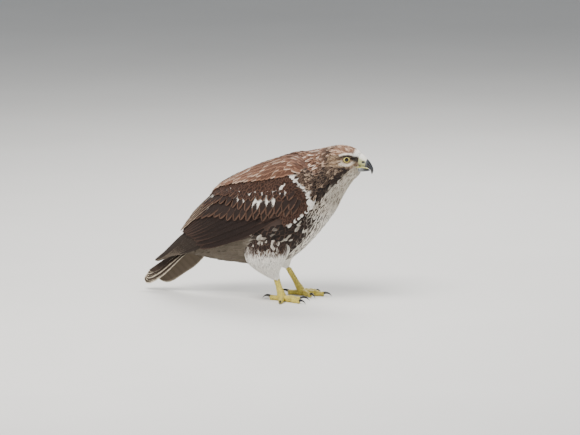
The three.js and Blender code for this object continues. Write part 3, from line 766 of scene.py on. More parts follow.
def split(tree, vector):
    """The x, y and z of a vector."""
    return new_node(tree, "SeparateXYZ", Vector=vector).outputs


def attribute(tree, name, output="Color"):
    node = new_node(tree, "Attribute")
    node.attribute_name = name
    return node.outputs[output]


def object_place(tree):
    return new_node(tree, "TexCoord").outputs["Object"]


def own_map(tree, name):
    node = new_node(tree, "UVMap")
    node.uv_map = name
    return node.outputs[0]


def tint(r, g, b):
    return (*paint(r, g, b), 1.0)


def new_group(name, inputs, outputs):
    """An empty shader group with named sockets: its tree, its inner inputs and its inner outputs."""
    tree = bpy.data.node_groups.new(name, "ShaderNodeTree")
    for way, sockets in (("INPUT", inputs), ("OUTPUT", outputs)):
        for kind, labels in sockets:
            for label in labels.split():
                tree.interface.new_socket(label, in_out=way, socket_type="NodeSocket" + kind)
    return tree, tree.nodes.new("NodeGroupInput").outputs, tree.nodes.new("NodeGroupOutput").inputs


def vane_group():
    """One feather's pattern: a dark centre inside a paler edge, a white base, bars, the shaft and the barbs.
    Vane is the feather's own map. Kind holds the centre's width, the base's white and the bars' strength."""
    tree, given, made = new_group(
        "vane_pattern",
        [("Vector", "Vane Place"), ("Color", "Ground Centre Kind"), ("Float", "Draw"), ("Color", "White"),
         ("Float", "Bars Barbs Taper")],
        [("Color", "Colour"), ("Float", "Height Roughness")],
    )
    vane = split(tree, given["Vane"])
    width, bare, barring = new_node(tree, "SeparateColor", Color=given["Kind"]).outputs[:3]
    across = calc(tree, "ABSOLUTE", calc(tree, "MULTIPLY_ADD", vane[0], 2.0, -1.0))
    along = vane[1]
    rough_edge = calc(tree, "MULTIPLY_ADD", noise(tree, given["Place"], 700.0), 0.5, -0.25)

    # The dark centre, as wide as a tapered swell, inside the pale edge
    swell = calc(tree, "SINE", calc(tree, "MULTIPLY", ramp(tree, along, 0.0, 1.06), math.pi))
    reach = calc(tree, "MULTIPLY", calc(tree, "POWER", swell, given["Taper"]), width)
    reach = calc(tree, "MULTIPLY", reach, ramp(tree, along, 1.0, 0.982))
    inside = calc(tree, "ADD", calc(tree, "SUBTRACT", reach, across), rough_edge)
    painted = blend(tree, ramp(tree, inside, -0.13, 0.08), given["Ground"], given["Centre"])

    # Bars across it, then the white of the base, which bays back along the shaft
    bars = calc(tree, "SINE", calc(tree, "MULTIPLY", along, given["Bars"]))
    dark = calc(tree, "MULTIPLY", ramp(tree, calc(tree, "ADD", bars, rough_edge), 0.1, 0.5), barring)
    barred = blend(tree, dark, painted, tint(38, 29, 25))
    bay = calc(tree, "MULTIPLY", calc(tree, "MULTIPLY_ADD", across, 0.3, 0.5), bare)
    base = calc(tree, "ADD", calc(tree, "SUBTRACT", bay, along), calc(tree, "MULTIPLY", rough_edge, 0.8))
    white = calc(tree, "MULTIPLY", ramp(tree, base, -0.06, 0.06), ramp(tree, bare, 0.1, 0.5))
    pale = blend(tree, white, barred, given["White"])

    # Barbs slant away from the shaft; each feather is a little lighter or darker than the next
    slant = calc(tree, "MULTIPLY_ADD", across, -0.35, along)
    wave = calc(tree, "SINE", calc(tree, "MULTIPLY", slant, given["Barbs"]))
    shaft = ramp(tree, across, 0.1, 0.02)
    light = calc(tree, "MULTIPLY_ADD", wave, 0.06, calc(tree, "MULTIPLY_ADD", given["Draw"], 0.24, 0.88))
    shade = new_node(tree, "CombineColor", Red=light, Green=light, Blue=light).outputs[0]
    feed(tree, made["Colour"], blend(tree, 1.0, pale, shade, "MULTIPLY"))
    feed(tree, made["Height"], calc(tree, "MULTIPLY_ADD", shaft, 0.9, wave))
    feed(tree, made["Roughness"], calc(tree, "MULTIPLY_ADD", rough_edge, 0.3, 0.68))
    return tree


VANE_GROUP = vane_group()
VANE_WHITE = (236, 230, 220)
FLESH = (0.002, 0.0014, 0.0006)  # how far red, green and blue light passes through bare skin, in metres


def flesh(weight):
    """The shader's values for light that passes through bare skin."""
    return {"Subsurface_Weight": weight, "Subsurface_Radius": FLESH}


def new_material(name, roughness=0.5, **plain):
    """A material and its tree; plain values go straight onto the shader's sockets."""
    material = bpy.data.materials.new(name)
    material.use_nodes = True
    shader = material.node_tree.nodes["Principled BSDF"]
    shader.inputs["Roughness"].default_value = roughness
    for label, value in plain.items():
        shader.inputs[label.replace("_", " ")].default_value = value
    return material, material.node_tree


def finished(material, colour, relief=None, depth=0.0, roughness=None):
    """Feeds a material's colour, its relief as deep as so many millimetres and its roughness."""
    tree = material.node_tree
    shader = tree.nodes["Principled BSDF"]
    feed(tree, shader.inputs["Base Color"], colour)
    if roughness is not None:
        feed(tree, shader.inputs["Roughness"], roughness)
    if relief is not None:
        bump = new_node(tree, "Bump", Strength=1.0, Distance=depth / 1000, Height=relief)
        feed(tree, shader.inputs["Normal"], bump.outputs[0])
    return material


def plumage(name, barbs, relief, bars=40.0, taper=0.55):
    """Feathers that take their colours from the vanes' own attributes."""
    material, tree = new_material(name, 0.7, Specular_IOR_Level=0.2)
    node = tree.nodes.new("ShaderNodeGroup")
    node.node_tree = VANE_GROUP
    given = {
        "Vane": own_map(tree, "vane"), "Place": object_place(tree),
        "Ground": attribute(tree, "ground"), "Centre": attribute(tree, "centre"),
        "Kind": attribute(tree, "kind"), "Draw": attribute(tree, "kind", "Alpha"),
        "White": tint(*VANE_WHITE), "Bars": bars, "Barbs": barbs, "Taper": taper,
    }
    for label, value in given.items():
        feed(tree, node.inputs[label], value)
    colour, height, roughness = node.outputs
    return finished(material, colour, height, relief, roughness)


def coat_skin():
    """The skin under the coat: the markings of the feathers over it, mottled."""
    material, tree = new_material("skin_under_coat", 0.85)
    down = tint(60, 46, 38)
    mottle = noise(tree, object_place(tree), 400.0)
    colour = blend(tree, calc(tree, "MULTIPLY", mottle, 0.5), attribute(tree, "ground"), down)
    return finished(material, colour, mottle, 0.4)


def leg_scales():
    """Yellow scaled skin: cell edges are dark and sunk, broad patches duller, plates have dark creases."""
    material, tree = new_material("leg_scales", Coat_Weight=0.12, **flesh(0.08))
    yellow, dull = tint(240, 218, 88), tint(214, 197, 84)
    seam, crease = tint(118, 104, 52), tint(128, 112, 58)
    place = object_place(tree)
    edge = ramp(tree, cells(tree, place, 620.0), 0.0, 0.16)
    broad = noise(tree, place, 90.0)
    creased = blend(tree, edge, seam, blend(tree, ramp(tree, broad, 0.35, 0.7), yellow, dull))
    colour = blend(tree, attribute(tree, "scute", "Fac"), creased, crease)
    relief = calc(tree, "ADD", edge, calc(tree, "MULTIPLY", broad, 0.6))
    return finished(material, colour, relief, 0.16, calc(tree, "MULTIPLY_ADD", edge, -0.14, 0.56))


def cere_skin():
    """Waxy yellow-green skin with a painted highlight of white along its top, and painted shade in the
    nostrils from the piece's dent attribute.
    """
    material, tree = new_material("cere_skin", 0.38, Coat_Weight=0.25, **flesh(0.1))
    yellow, green = tint(190, 188, 126), tint(156, 158, 110)
    # Near-white for the painted highlight along the top of the cere, near-black for the painted shade in the
    # nostrils
    ridge_highlight, nostril_shade = tint(234, 230, 218), tint(14, 12, 11)
    place = object_place(tree)
    waxy = blend(tree, ramp(tree, noise(tree, place, 160.0), 0.3, 0.7), yellow, green)
    # The painted highlight runs along the top of the cere, with a ragged edge
    from_below = calc(tree, "ABSOLUTE", calc(tree, "SUBTRACT", split(tree, own_map(tree, "along"))[0], 0.5))
    ragged_highlight = calc(tree, "MULTIPLY_ADD", noise(tree, place, 420.0), 0.16, from_below)
    with_ridge_highlight = blend(tree, ramp(tree, ragged_highlight, 0.34, 0.44), waxy, ridge_highlight)
    # Painted shade fills the nostrils' dents
    colour = blend(tree, attribute(tree, "dent", "Fac"), with_ridge_highlight, nostril_shade)
    return finished(material, colour, noise(tree, place, 900.0), 0.15)


def horn(name, base, tip, start, end, rough=0.26):
    """Horn that darkens along its own map from base to tip, with growth lines round it."""
    material, tree = new_material(name, rough, Coat_Weight=0.3)
    along = split(tree, own_map(tree, "along"))[1]
    mottle = noise(tree, object_place(tree), 260.0)
    far = ramp(tree, calc(tree, "MULTIPLY_ADD", mottle, 0.22, along), start, end)
    lines = calc(tree, "SINE", calc(tree, "MULTIPLY", along, 95.0))
    relief = calc(tree, "MULTIPLY_ADD", mottle, 1.4, calc(tree, "MULTIPLY", lines, 0.25))
    return finished(material, blend(tree, far, tint(*base), tint(*tip)), relief, 0.08)


def eye_ball():
    """A wet eye by the angle from the gaze: black pupil, pale yellow iris with fine spokes, dark rim."""
    wet = {"Coat_Weight": 0.6, "Coat_Roughness": 0.02, "Specular_IOR_Level": 0.1}
    material, tree = new_material("eye_ball", 0.12, **wet)
    yellow, pale, inner_edge = tint(196, 182, 92), tint(236, 226, 148), tint(160, 132, 60)
    rim, pupil = tint(52, 42, 26), tint(4, 4, 4)
    turn, polar, _ = split(tree, own_map(tree, "iris"))
    angle = calc(tree, "MULTIPLY", turn, 2 * math.pi)
    wheel = new_node(tree, "CombineXYZ", X=calc(tree, "COSINE", angle), Y=calc(tree, "SINE", angle),
                     Z=calc(tree, "MULTIPLY", polar, 1.2))
    spokes = noise(tree, wheel.outputs[0], 11.0, 5.0)
    iris = blend(tree, ramp(tree, spokes, 0.35, 0.7), yellow, pale)
    inner = blend(tree, ramp(tree, polar, 0.5, 0.42), iris, inner_edge)
    outer = blend(tree, ramp(tree, polar, 0.66, 0.76), inner, rim)
    return finished(material, blend(tree, ramp(tree, polar, 0.425, 0.4), outer, pupil))


def lid_skin():
    """Dark, finely pebbled skin of the lids."""
    material, tree = new_material("lid_skin", Coat_Weight=0.15)
    pebbles = ramp(tree, cells(tree, object_place(tree), 1300.0), 0.0, 0.3)
    return finished(material, blend(tree, pebbles, tint(22, 18, 16), tint(54, 46, 38)), pebbles, 0.12)


def studio_floor():
    """Pale matt floor with a faint mottle."""
    material, tree = new_material("studio_floor", 0.8)
    mottle = noise(tree, object_place(tree), 3.0)
    return finished(material, blend(tree, mottle, tint(214, 213, 210), tint(222, 221, 218)))


# Skin, eyes, bill and feet

UNDER_WING = (60, 44, 37)  # colour of the skin that a wing covers
CENTRE_IN_SKIN = 0.35  # share of the feathers' centres in the colour of the skin elsewhere


def coat_depth(row):
    return np.interp(row, COAT_ROWS, COAT_DEPTHS)


def wing_core(side, inset):
    """The wing's fleshy arm and packed feathers, a flattened loft under the vanes."""
    surface = wing_surface(side)
    front, rear = WING[0, 0] - 1, WING_DEPTH[-1, 0]

    def core(s, angle):
        x = mix(front, rear, s**1.35)
        depth = rows_at(WING_DEPTH, row_of(WING_DEPTH, x))[..., 1]
        t = 0.5 - 0.5 * np.cos(angle)
        inner = np.where(np.sin(angle) < 0, np.abs(np.sin(angle)) ** 0.6, 0)
        height = packed_height(x, t) - inset - inner * (depth - inset)
        p, _, _, normal = frames(surface, x, t)
        return p + normal * height[..., None]
    return core


def make_skin(material):
    """One skin for the trunk, neck, head, thighs, wings and tail root, inside the coat by its depth."""
    tail_ends = TAIL_CORE[0, 0], TAIL_CORE[-1, 0] - TAIL_SKIN["short"]
    body = lambda s, angle: body_place(s * HEAD_END, angle, -coat_depth(s * HEAD_END))
    tail = lambda s, angle: tail_core_place(mix(*tail_ends, s), angle, -TAIL_SKIN["coat"])
    parts = [loft(body, 150, 96)]
    for leg in LEGS.values():
        place = thigh_place(leg)
        thigh = lambda s, angle: place(s * THIGH_SKIN_END, angle, -THIGH_COAT)
        parts += [loft(thigh, 40, 40), loft(wing_core(leg["side"], WING_COAT), 60, 48)]
    parts.append(loft(tail, 24, 40))
    skin = melted("skin", parts, voxel=2.0, rounds=4)
    spots = points_of(skin)
    ground, centre, kind = body_markings(spots)
    feathered = mix(ground, centre, CENTRE_IN_SKIN * np.minimum(kind[:, :1], 1))
    colour = np.where(wing_covers(spots, 0)[:, None], paint(*UNDER_WING), feathered)
    put_values(skin.data, "ground", with_alpha(colour))
    paired = [f"{part}_{side}" for part in ("thigh", "wing") for side in ("left", "right")]
    dress(skin, material, "bare_skin", "torso", "neck", "head", "tail", *paired)


def round_corners(turn, faces):
    """Each corner's turn, counted on past 1 in the faces that close the ring, or they would run back."""
    spots = [turn[face] for face in faces]
    return np.concatenate([np.where(t.max(1, keepdims=True) - t > 0.5, t + 1, t).ravel() for t in spots])


EYE_SWELL = 0.035  # of the ball's clear front, as a share of its radius
# The lids: how thick, how much more above, by what share the upper comes down, reach of the corner ahead,
# and how proud of the ball
LID = {"thick": 1.05, "upper": 0.5, "lower_by": 0.13, "corner": 1.5, "proud": 0.15}


def gaze_axes(side):
    """The gaze, the way up from it and the way across it, for one eye."""
    gaze = mirrored(GAZE, side)
    up = unit(np.array([0, 0, 1.0]) - gaze[2] * gaze)
    return gaze, up, np.cross(up, gaze)


def make_eye(side, word, material):
    """A ball by polar angle and turn round the gaze, its clear front swelling a little inside the iris."""
    gaze, up, aside = gaze_axes(side)

    def ball(s, turn):
        polar = s * np.pi
        radius = EYE_RADIUS * (1 + EYE_SWELL * smooth(0.8, 0.35, polar))
        flat = np.sin(polar)[..., None] * (np.cos(turn)[..., None] * up + np.sin(turn)[..., None] * aside)
        return mirrored(EYE_AT, side) + radius[..., None] * (np.cos(polar)[..., None] * gaze + flat)

    points, faces = loft(ball, 56, 72)
    off = points - mirrored(EYE_AT, side)
    polar = np.arccos(np.clip(unit(off) @ gaze, -1, 1))
    turn = np.arctan2(off @ aside, off @ up) / (2 * np.pi)
    iris = np.stack([round_corners(turn, faces), polar[corners_of(faces)]], -1)
    dress(put_mesh(f"glass_eye_{word}", points, faces, uvs={"iris": iris}), material, "eye", f"eye_{word}")


def make_lids(side, word, material):
    """A soft ring round the eye: the upper lid comes lower over the ball, and both end in a corner ahead."""
    gaze, up, aside = gaze_axes(side)
    rows, around = 96, 14
    turn, section = np.meshgrid(np.arange(rows) / rows * 2 * np.pi, np.arange(around) * 2 * np.pi / around,
                                indexing="ij")
    lid_up = np.cos(turn)
    reach = LID_RING * (1 - LID["lower_by"] * smooth(0.2, 1, lid_up)) + 0.2
    reach = reach + LID["corner"] * np.exp(-((np.sin(turn) * -side - 1) / 0.16) ** 2)
    thick = LID["thick"] + LID["upper"] * smooth(0, 1, lid_up)
    width = reach + thick * np.cos(section)
    dome = np.sqrt(np.maximum(EYE_RADIUS**2 - reach**2, 20))
    out = dome + LID["proud"] + thick * 0.85 * np.sin(section) - 0.1 * np.maximum(reach - LID_RING, 0)
    flat = np.cos(turn)[..., None] * up + np.sin(turn)[..., None] * aside
    points = (mirrored(EYE_AT, side) + width[..., None] * flat + out[..., None] * gaze).reshape(-1, 3)
    quads = tube_quads(rows, around, rows)
    dress(put_mesh(f"lids_{word}", points, facing_out(points, [quads])), material, "bare_skin")


def loft_with_map(name, place, rows, around, extra=None):
    """A loft with its own map, once round across and from 0 to 1 along. extra(points) gives attributes."""
    points, faces = loft(place, rows, around)
    ring = np.arange(len(points) - 2)
    along = np.concatenate([ring // around / rows, [0, 1]])
    turn = np.concatenate([ring % around / around, [0.5, 0.5]])
    own = np.stack([round_corners(turn, faces), along[corners_of(faces)]], -1)
    piece = put_mesh(name, points, faces, uvs={"along": own}, sharp=60)
    for key, value in (extra(points) if extra else {}).items():
        put_values(piece.data, key, value)
    return piece


AXIS_Y = np.array([0, 1, 0])  # across the head


def nostril(p):
    """exp(-off^2.8) round the middle of each nostril, from 0 far off to 1."""
    middle, reach = NOSTRIL
    off = (np.where(AXIS_Y, np.abs(p), p) - middle) / reach
    return np.exp(-np.sum(off**2, axis=-1) ** 1.4)


def nostril_dents(points):
    """How deep in a nostril each point lies, once carried most of the way back out of its dent."""
    # The cere paints shade in the nostrils by this depth
    return {"dent": smooth(0.06, 0.2, nostril(points + 1.4 * AXIS_Y * np.sign(points[:, 1:2])))}


def cere_place(s, angle):
    """The cere's rings, pushed inward at the nostrils."""
    p = section_place(CERE)(s, angle)
    return p - NOSTRIL_DEPTH * nostril(p)[..., None] * AXIS_Y * np.sign(p[..., 1:2])


def upper_bill_place(s, angle):
    """The upper bill's rings, with a thin waved cutting edge on both sides."""
    edge = smooth(0.7, 1.0, -np.cos(angle)) * smooth(0.75, 0.2, s)
    wave = np.stack([0 * s, 0.5 * edge * np.sign(np.sin(angle)), 0.35 * edge * np.sin(s * 9)], -1)
    return section_place(UPPER_BILL)(s, angle) + wave


def gape_place(side):
    """A thin fleshy cord along the line of the gape, fullest in its middle."""
    def place(s, angle):
        middle = mirrored(rows_at(GAPE, s * (len(GAPE) - 1)), side)
        size = 0.5 + 0.65 * np.sin(np.pi * np.minimum(1, 0.15 + s * 0.9)) ** 0.7
        out = np.stack([0.3 * np.cos(angle), side * 0.9 * np.cos(angle), 0.8 * np.sin(angle)], -1)
        return middle + size[..., None] * out
    return place


def make_bill(cere_material, upper_material, lower_material, gape_material):
    """Cere with dented nostrils, hooked upper bill, lower bill and the fleshy line of the gape."""
    under = section_place(LOWER_BILL)
    dress(loft_with_map("cere_skin", cere_place, 60, 96, nostril_dents), cere_material, "cere", "cere")
    dress(loft_with_map("bill_hook", upper_bill_place, 70, 64), upper_material, "horn", "bill_upper")
    dress(loft_with_map("bill_under", under, 48, 56), lower_material, "horn", "bill_lower")
    for word, leg in LEGS.items():
        dress(loft_with_map(f"gape_{word}", gape_place(leg["side"]), 40, 16), gape_material, "cere")


def shank_form(leg):
    """Ovals from inside the hem down to a rounded pad under the foot."""
    heel, foot = np.array(leg["heel"]), np.array(leg["foot"])

    def place(s, angle):
        down = mix(SHANK["start"], 1 + SHANK["sole"], s)
        centre = heel + (foot - heel) * np.minimum(1, down)[..., None]
        flare = smooth(0.7, 0.98, down)
        round_off = np.where(down > 1, np.sqrt(np.clip(1 - ((down - 1) / 0.135) ** 2, 0, 1)), 1)
        size = mix(0.62, 1, round_off)
        long = mix(SHANK["long"], SHANK["pad"], flare) * size
        wide = mix(SHANK["wide"], SHANK["pad"] * 0.92, flare) * size
        z = centre[..., 2] - np.maximum(0, down - 1) * (foot[2] / SHANK["sole"])
        y = leg["side"] * (centre[..., 1] + wide * np.sin(angle))
        return np.stack([centre[..., 0] + long * np.cos(angle), y, z], -1)
    return place


def toe_point(toe, leg, run, aside, z):
    """A point of a toe from the way along it, the way to its left and the height over the floor."""
    c, s = math.cos(toe.heading), math.sin(toe.heading)
    x, y = leg["foot"][0], leg["side"] * leg["foot"][1]
    return np.stack([x + c * run - s * aside, y + s * run + c * aside, np.maximum(0, z)], -1)


def toe_height(toe, s):
    """Height of a toe's middle line: highest where it leaves the foot, with a low arch."""
    arch = TOE["arch"] * np.sin(np.pi * np.minimum(1, s * 1.1)) * (1 if toe.joints > 1 else 0.5)
    return TOE["height"] + arch + TOE["knuckle"] * (1 - s) ** 3


def toe_form(toe, leg):
    """Rings that swell at each joint, with pads that hang a little lower than they are wide."""
    def place(s, angle):
        swell = TOE["swell"] * np.cos(2 * np.pi * toe.joints * s)
        end = np.sqrt(np.clip(1 - (np.maximum(s - 0.9, 0) / 0.105) ** 2, 0, 1))
        radius = (mix(TOE["root"], TOE["tip"], s) + swell) * mix(0.25, 1, end)
        hang = np.where(np.cos(angle) < 0, TOE["pad"], 1)
        z = toe_height(toe, s) + radius * np.cos(angle) * hang
        return toe_point(toe, leg, toe.length * s, radius * np.sin(angle), z)
    return place


def claw_form(toe, leg):
    """A hook: rings along an arc that rises from the toe's end and comes down to the floor at its point."""
    bend = CLAW_UP - CLAW_DOWN
    radius = toe.claw / bend

    def place(s, angle):
        lean = CLAW_UP - bend * s
        run = toe.length - CLAW["sunk"] + radius * (math.sin(CLAW_UP) - np.sin(lean))
        height = CLAW["tip"] + radius * (np.cos(lean) - math.cos(CLAW_DOWN))
        size = np.maximum(0.07, 1 - s**1.4)
        keel = 1 - 0.16 * smooth(0.3, 1, -np.cos(angle))
        out = CLAW["tall"] * size * np.cos(angle) * keel
        aside = CLAW["wide"] * size * np.sin(angle)
        return toe_point(toe, leg, run - out * np.sin(lean), aside, height + out * np.cos(lean))
    return place


def stepped(way, count):
    """The rise and the crease of overlapping plates along a way: each rises slowly and drops at its end."""
    cycle = way * count % 1.0
    return cycle * smooth(1.0, 0.86, cycle), smooth(0.82, 0.95, cycle) + smooth(0.1, 0.0, cycle)


def scute_relief(spots, leg):
    """Height and crease of the plates down the front of the shank and along the top of each toe."""
    heel, foot = np.array(leg["heel"]), np.array(leg["foot"])
    axis = foot - heel
    centre = heel + axis * np.clip((spots[:, 2] - heel[2]) / axis[2], 0, 1)[:, None]
    ahead = spots[:, 0] - centre[:, 0]
    aside = np.abs(spots[:, 1] - leg["side"] * centre[:, 1])
    front = smooth(0.2, 0.9, ahead / (np.abs(aside) + 3)) * smooth(9, 17, spots[:, 2])
    rise, crease = stepped(1 - spots[:, 2] / SCUTES["shank_top"], SCUTES["shank_count"])
    height, dark = SCUTES["shank_rise"] * rise * front, crease * front
    x, y = spots[:, 0] - foot[0], spots[:, 1] - leg["side"] * foot[1]
    for toe in leg["toes"].values():
        c, s = math.cos(toe.heading), math.sin(toe.heading)
        share = (x * c + y * s) / toe.length
        over = spots[:, 2] - toe_height(toe, np.clip(share, 0, 1))
        on_top = smooth(0.5, 2.6, over) * smooth(6.5, 5, np.abs(-x * s + y * c))
        on_top = on_top * smooth(0.2, 0.3, share) * smooth(1.02, 0.97, share)
        rise, crease = stepped(share, round(toe.length / SCUTES["toe_pitch"]))
        height = np.maximum(height, SCUTES["toe_rise"] * rise * on_top)
        dark = np.maximum(dark, crease * on_top)
    return height, dark


def make_leg(word, leg, material, claw_material):
    """One scaled skin from the hem to the toes' ends, and four claws."""
    parts = [loft(shank_form(leg), 60, 40)]
    parts += [loft(toe_form(toe, leg), 60, 28) for toe in leg["toes"].values()]
    skin = melted(f"foot_skin_{word}", parts, voxel=0.62, rounds=5)
    spots = points_of(skin)
    height, dark = scute_relief(spots, leg)
    normals = np.zeros(len(spots) * 3, np.float32)
    skin.data.vertices.foreach_get("normal", normals)
    moved = spots + normals.reshape(-1, 3) * height[:, None]
    moved[:, 2] = np.maximum(moved[:, 2], SOLE_CLEARANCE)
    skin.data.vertices.foreach_set("co", to_row(moved).astype(np.float32).ravel())
    put_values(skin.data, "scute", np.clip(dark, 0, 1))
    skin.data.update()
    dress(skin, material, "bare_skin", f"shank_{word}", *[f"toe_{name}_{word}" for name in leg["toes"]])
    for name, toe in leg["toes"].items():
        piece = loft_with_map(f"talon_{name}_{word}", claw_form(toe, leg), 40, 28)
        dress(piece, claw_material, "horn", f"claw_{name}_{word}")


# Markings, as functions of place, and the coat built from them

# Edge and centre of the feathers of each marking, as red, green and blue on a screen
COLOURS = {
    "side of the breast": ((212, 201, 185), (52, 39, 33)),
    "belt of the belly": ((230, 223, 211), (52, 38, 31)),
    "flank": ((72, 56, 48), (36, 28, 25)),
    "blotch on the flank": ((198, 191, 180), (160, 152, 140)),
    # The buff of the vent, darkened as painted shade beneath the tail
    "vent": ((98, 89, 77), (72, 63, 54)),
    "side of the neck": ((110, 91, 76), (34, 26, 23)),
    "streak on the neck": ((176, 153, 130), (72, 54, 44)),
    "rim at the bend": ((240, 236, 228), (120, 96, 80)),
    "nape": ((100, 76, 61), (40, 30, 25)),
    "streak on the nape": ((196, 172, 150), (110, 82, 65)),
    "mantle": ((160, 122, 98), (70, 46, 36)),
    "pale of the mantle": ((232, 216, 200), (150, 112, 90)),
    "rump": ((140, 108, 88), (70, 50, 40)),
    "crown": ((160, 124, 99), (84, 58, 45)),
    "streak on the crown": ((216, 188, 164), (136, 100, 78)),
    "cheek": ((168, 145, 118), (92, 71, 54)),
    "streak on the cheek": ((134, 108, 84), (70, 52, 41)),
    "malar stripe": ((66, 52, 44), (28, 22, 20)),
    "jaw": ((190, 179, 160), (96, 80, 66)),
    "throat": ((196, 187, 171), (78, 62, 52)),
    "under the eye": ((214, 204, 188), (150, 130, 108)),
    "behind the eye": ((110, 84, 62), (72, 52, 40)),
    "lore": ((84, 77, 67), (46, 41, 37)),
    # Painted shade of the brow, in the front corner ahead of the eye
    "painted shade at the corner of the eye": ((46, 38, 33), (28, 23, 20)),
    "brow": ((238, 233, 224), (206, 192, 176)),
    # Painted shade of the brow's overhang: a dark line just over the eye
    "painted shade under the brow": ((44, 34, 28), (30, 23, 20)),
    "forehead": ((240, 236, 228), (214, 205, 192)),
    "outer thigh": ((246, 242, 233), (104, 76, 58)),
    "top of the thigh": ((76, 59, 50), (40, 30, 26)),
    "over the tail": ((132, 102, 84), (70, 52, 43)),
    "primary": ((106, 95, 83), (56, 47, 41)),
    "secondary": ((74, 56, 47), (42, 31, 27)),
    "inner secondary": ((214, 200, 184), (50, 38, 32)),
    "tertial": ((176, 152, 130), (58, 43, 35)),
    "greater covert": ((96, 72, 59), (45, 35, 31)),
    "second covert": ((98, 73, 60), (46, 35, 31)),
    "first covert": ((102, 76, 62), (47, 35, 31)),
    "scapular": ((138, 102, 82), (90, 61, 47)),
    "pale scapular": ((196, 170, 150), (116, 84, 66)),
    "small covert": ((88, 62, 50), (50, 35, 29)),
    "white rim": ((240, 236, 228), (206, 194, 180)),
    "wing by the neck": ((106, 86, 72), (40, 30, 26)),
    "streak by the neck": ((178, 156, 134), (66, 50, 41)),
    "right tail feather": ((214, 200, 176), (62, 50, 42)),
    "left tail feather": ((186, 172, 148), (96, 85, 72)),
}


WING_COVER = (-190, 77)  # from the rear to the front, where a wing's own edges bound what it covers
WING_BEND = 62  # ahead of which it covers nothing
UNDER_EDGE = 9  # how far the body's feathers run on under the wing's edge


def wing_covers(p, margin):
    """Whether points of the body lie under a folded wing, by more than a margin inside its edges."""
    row = rows_at(WING, row_of(WING, np.clip(p[:, 0], *WING_COVER)))
    inside = (p[:, 2] > row[:, 6] + margin) & (np.abs(p[:, 1]) > row[:, 1] + margin * 0.5)
    return inside & (p[:, 0] < WING_BEND - margin)


class Markings:
    """Edge colour, centre colour and kind for many places, painted over one another by soft masks."""

    def __init__(self, count, colour):
        self.ground = np.tile(paint(*colour), (count, 1))
        self.centre = np.tile(paint(*colour), (count, 1))
        self.kind = np.zeros((count, 4))

    def lay(self, mask, name, width, white=0.0, bars=0.0):
        """Lays a marking by name, with the width of its centre, the white of its base and its bars."""
        m = np.clip(mask, 0, 1)[:, None]
        ground, centre = COLOURS[name]
        self.ground = mix(self.ground, paint(*ground), m)
        self.centre = mix(self.centre, paint(*centre), m)
        fresh = np.stack(np.broadcast_arrays(width, white, bars, 0 * m[:, 0]), -1)
        self.kind = mix(self.kind, fresh, m)

    def values(self, draws):
        self.kind[:, 3] = draws
        return self.ground, self.centre, self.kind


def bell(*offs):
    """exp(-(a^2 + b^2 + ...)) of distances given in reaches."""
    return np.exp(-sum(off**2 for off in offs))


class Place:
    """What the body's markings read: where each point is, what chance gives it, and its height over the line
    that parts the dark neck from the pale breast."""

    def __init__(self, p):
        self.p = p
        self.x, self.y, self.z = p[:, 0], np.abs(p[:, 1]), p[:, 2]
        self.chance = grain(p, 2.3, 11)
        self.broad = grain(p, 15, 12)
        slant = np.stack([0.25 * (p[:, 0] + p[:, 2]), p[:, 1], 0.7 * (p[:, 0] - p[:, 2])], -1)
        lengthwise = grain(p * (0.35, 1, 1), 2.4, 16)
        self.streak = mix(grain(slant, 2.6, 15), lengthwise, smooth(84, 96, self.x))
        self.line = (self.z - 211) - 0.98 * (self.x - 68) + 9 * (self.broad - 0.5) + 12 * (self.streak - 0.5)


def mark_breast(made, at):
    """Streaked sides of the breast, a belt of dark hearts on the belly, dark flanks and a plain vent
    darkened as painted shade beneath the tail.
    """
    x, y, z, chance, broad = at.x, at.y, at.z, at.chance, at.broad
    sides = smooth(9, 30, y + 12 * (broad - 0.5))
    streaked = smooth(0.42, 0.54, chance) * sides * smooth(250, 205, z)
    made.lay(sides * smooth(250, 215, z), "side of the breast", 0.74 * streaked)
    belt = smooth(200, 172, z + 16 * (broad - 0.5)) * smooth(-75, -45, x)
    hearts = mix(0.36, 0.6, smooth(6, 30, y)) * smooth(0.34, 0.42, chance)
    made.lay(belt, "belt of the belly", hearts)
    flank = smooth(22, 48, y) * smooth(216, 190, z + 10 * (broad - 0.5)) * smooth(-80, -50, x)
    flank = flank * smooth(74, 46, x) * smooth(88, 108, z)
    made.lay(flank, "flank", 0.86)
    made.lay(flank * smooth(0.68, 0.74, grain(at.p, 4.4, 17)), "blotch on the flank", 0.6)
    # The vent's buff, darkened as painted shade beneath the tail
    made.lay(smooth(-50, -82, x), "vent", 0.16 * smooth(0.6, 0.7, chance))


def mark_neck(made, at):
    """Dark streaked neck and nape, a white rim at the wing's bend, a rufous mantle and the rump."""
    x, y, z, chance, streak = at.x, at.y, at.z, at.chance, at.streak
    neck = smooth(-8, 5, at.line) * smooth(20, 50, x) * smooth(170, 200, z)
    made.lay(neck, "side of the neck", 0.84)
    made.lay(neck * smooth(0.58, 0.7, streak), "streak on the neck", 0.5)
    bend = smooth(55, 59, x) * smooth(69, 65, x) * smooth(192, 202, z) * smooth(232, 222, z)
    made.lay(0.9 * (bend * smooth(46, 56, y)), "rim at the bend", 0.2 * smooth(0.5, 0.7, chance))
    nape = smooth(276, 290, z) * smooth(108, 96, x)
    made.lay(nape, "nape", 0.8)
    made.lay(nape * smooth(0.6, 0.7, streak), "streak on the nape", 0.5)
    mantle = smooth(84, 60, x) * smooth(258, 280, z)
    mantle = np.maximum(mantle, smooth(0, 14, z - 175 - 0.54 * (x + 146)) * smooth(64, 50, x))
    made.lay(mantle, "mantle", 0.76)
    made.lay(mantle * smooth(0.62, 0.7, chance) * smooth(20, 44, x), "pale of the mantle", 0.5)
    made.lay(smooth(-60, -100, x) * smooth(120, 150, z), "rump", 0.8)


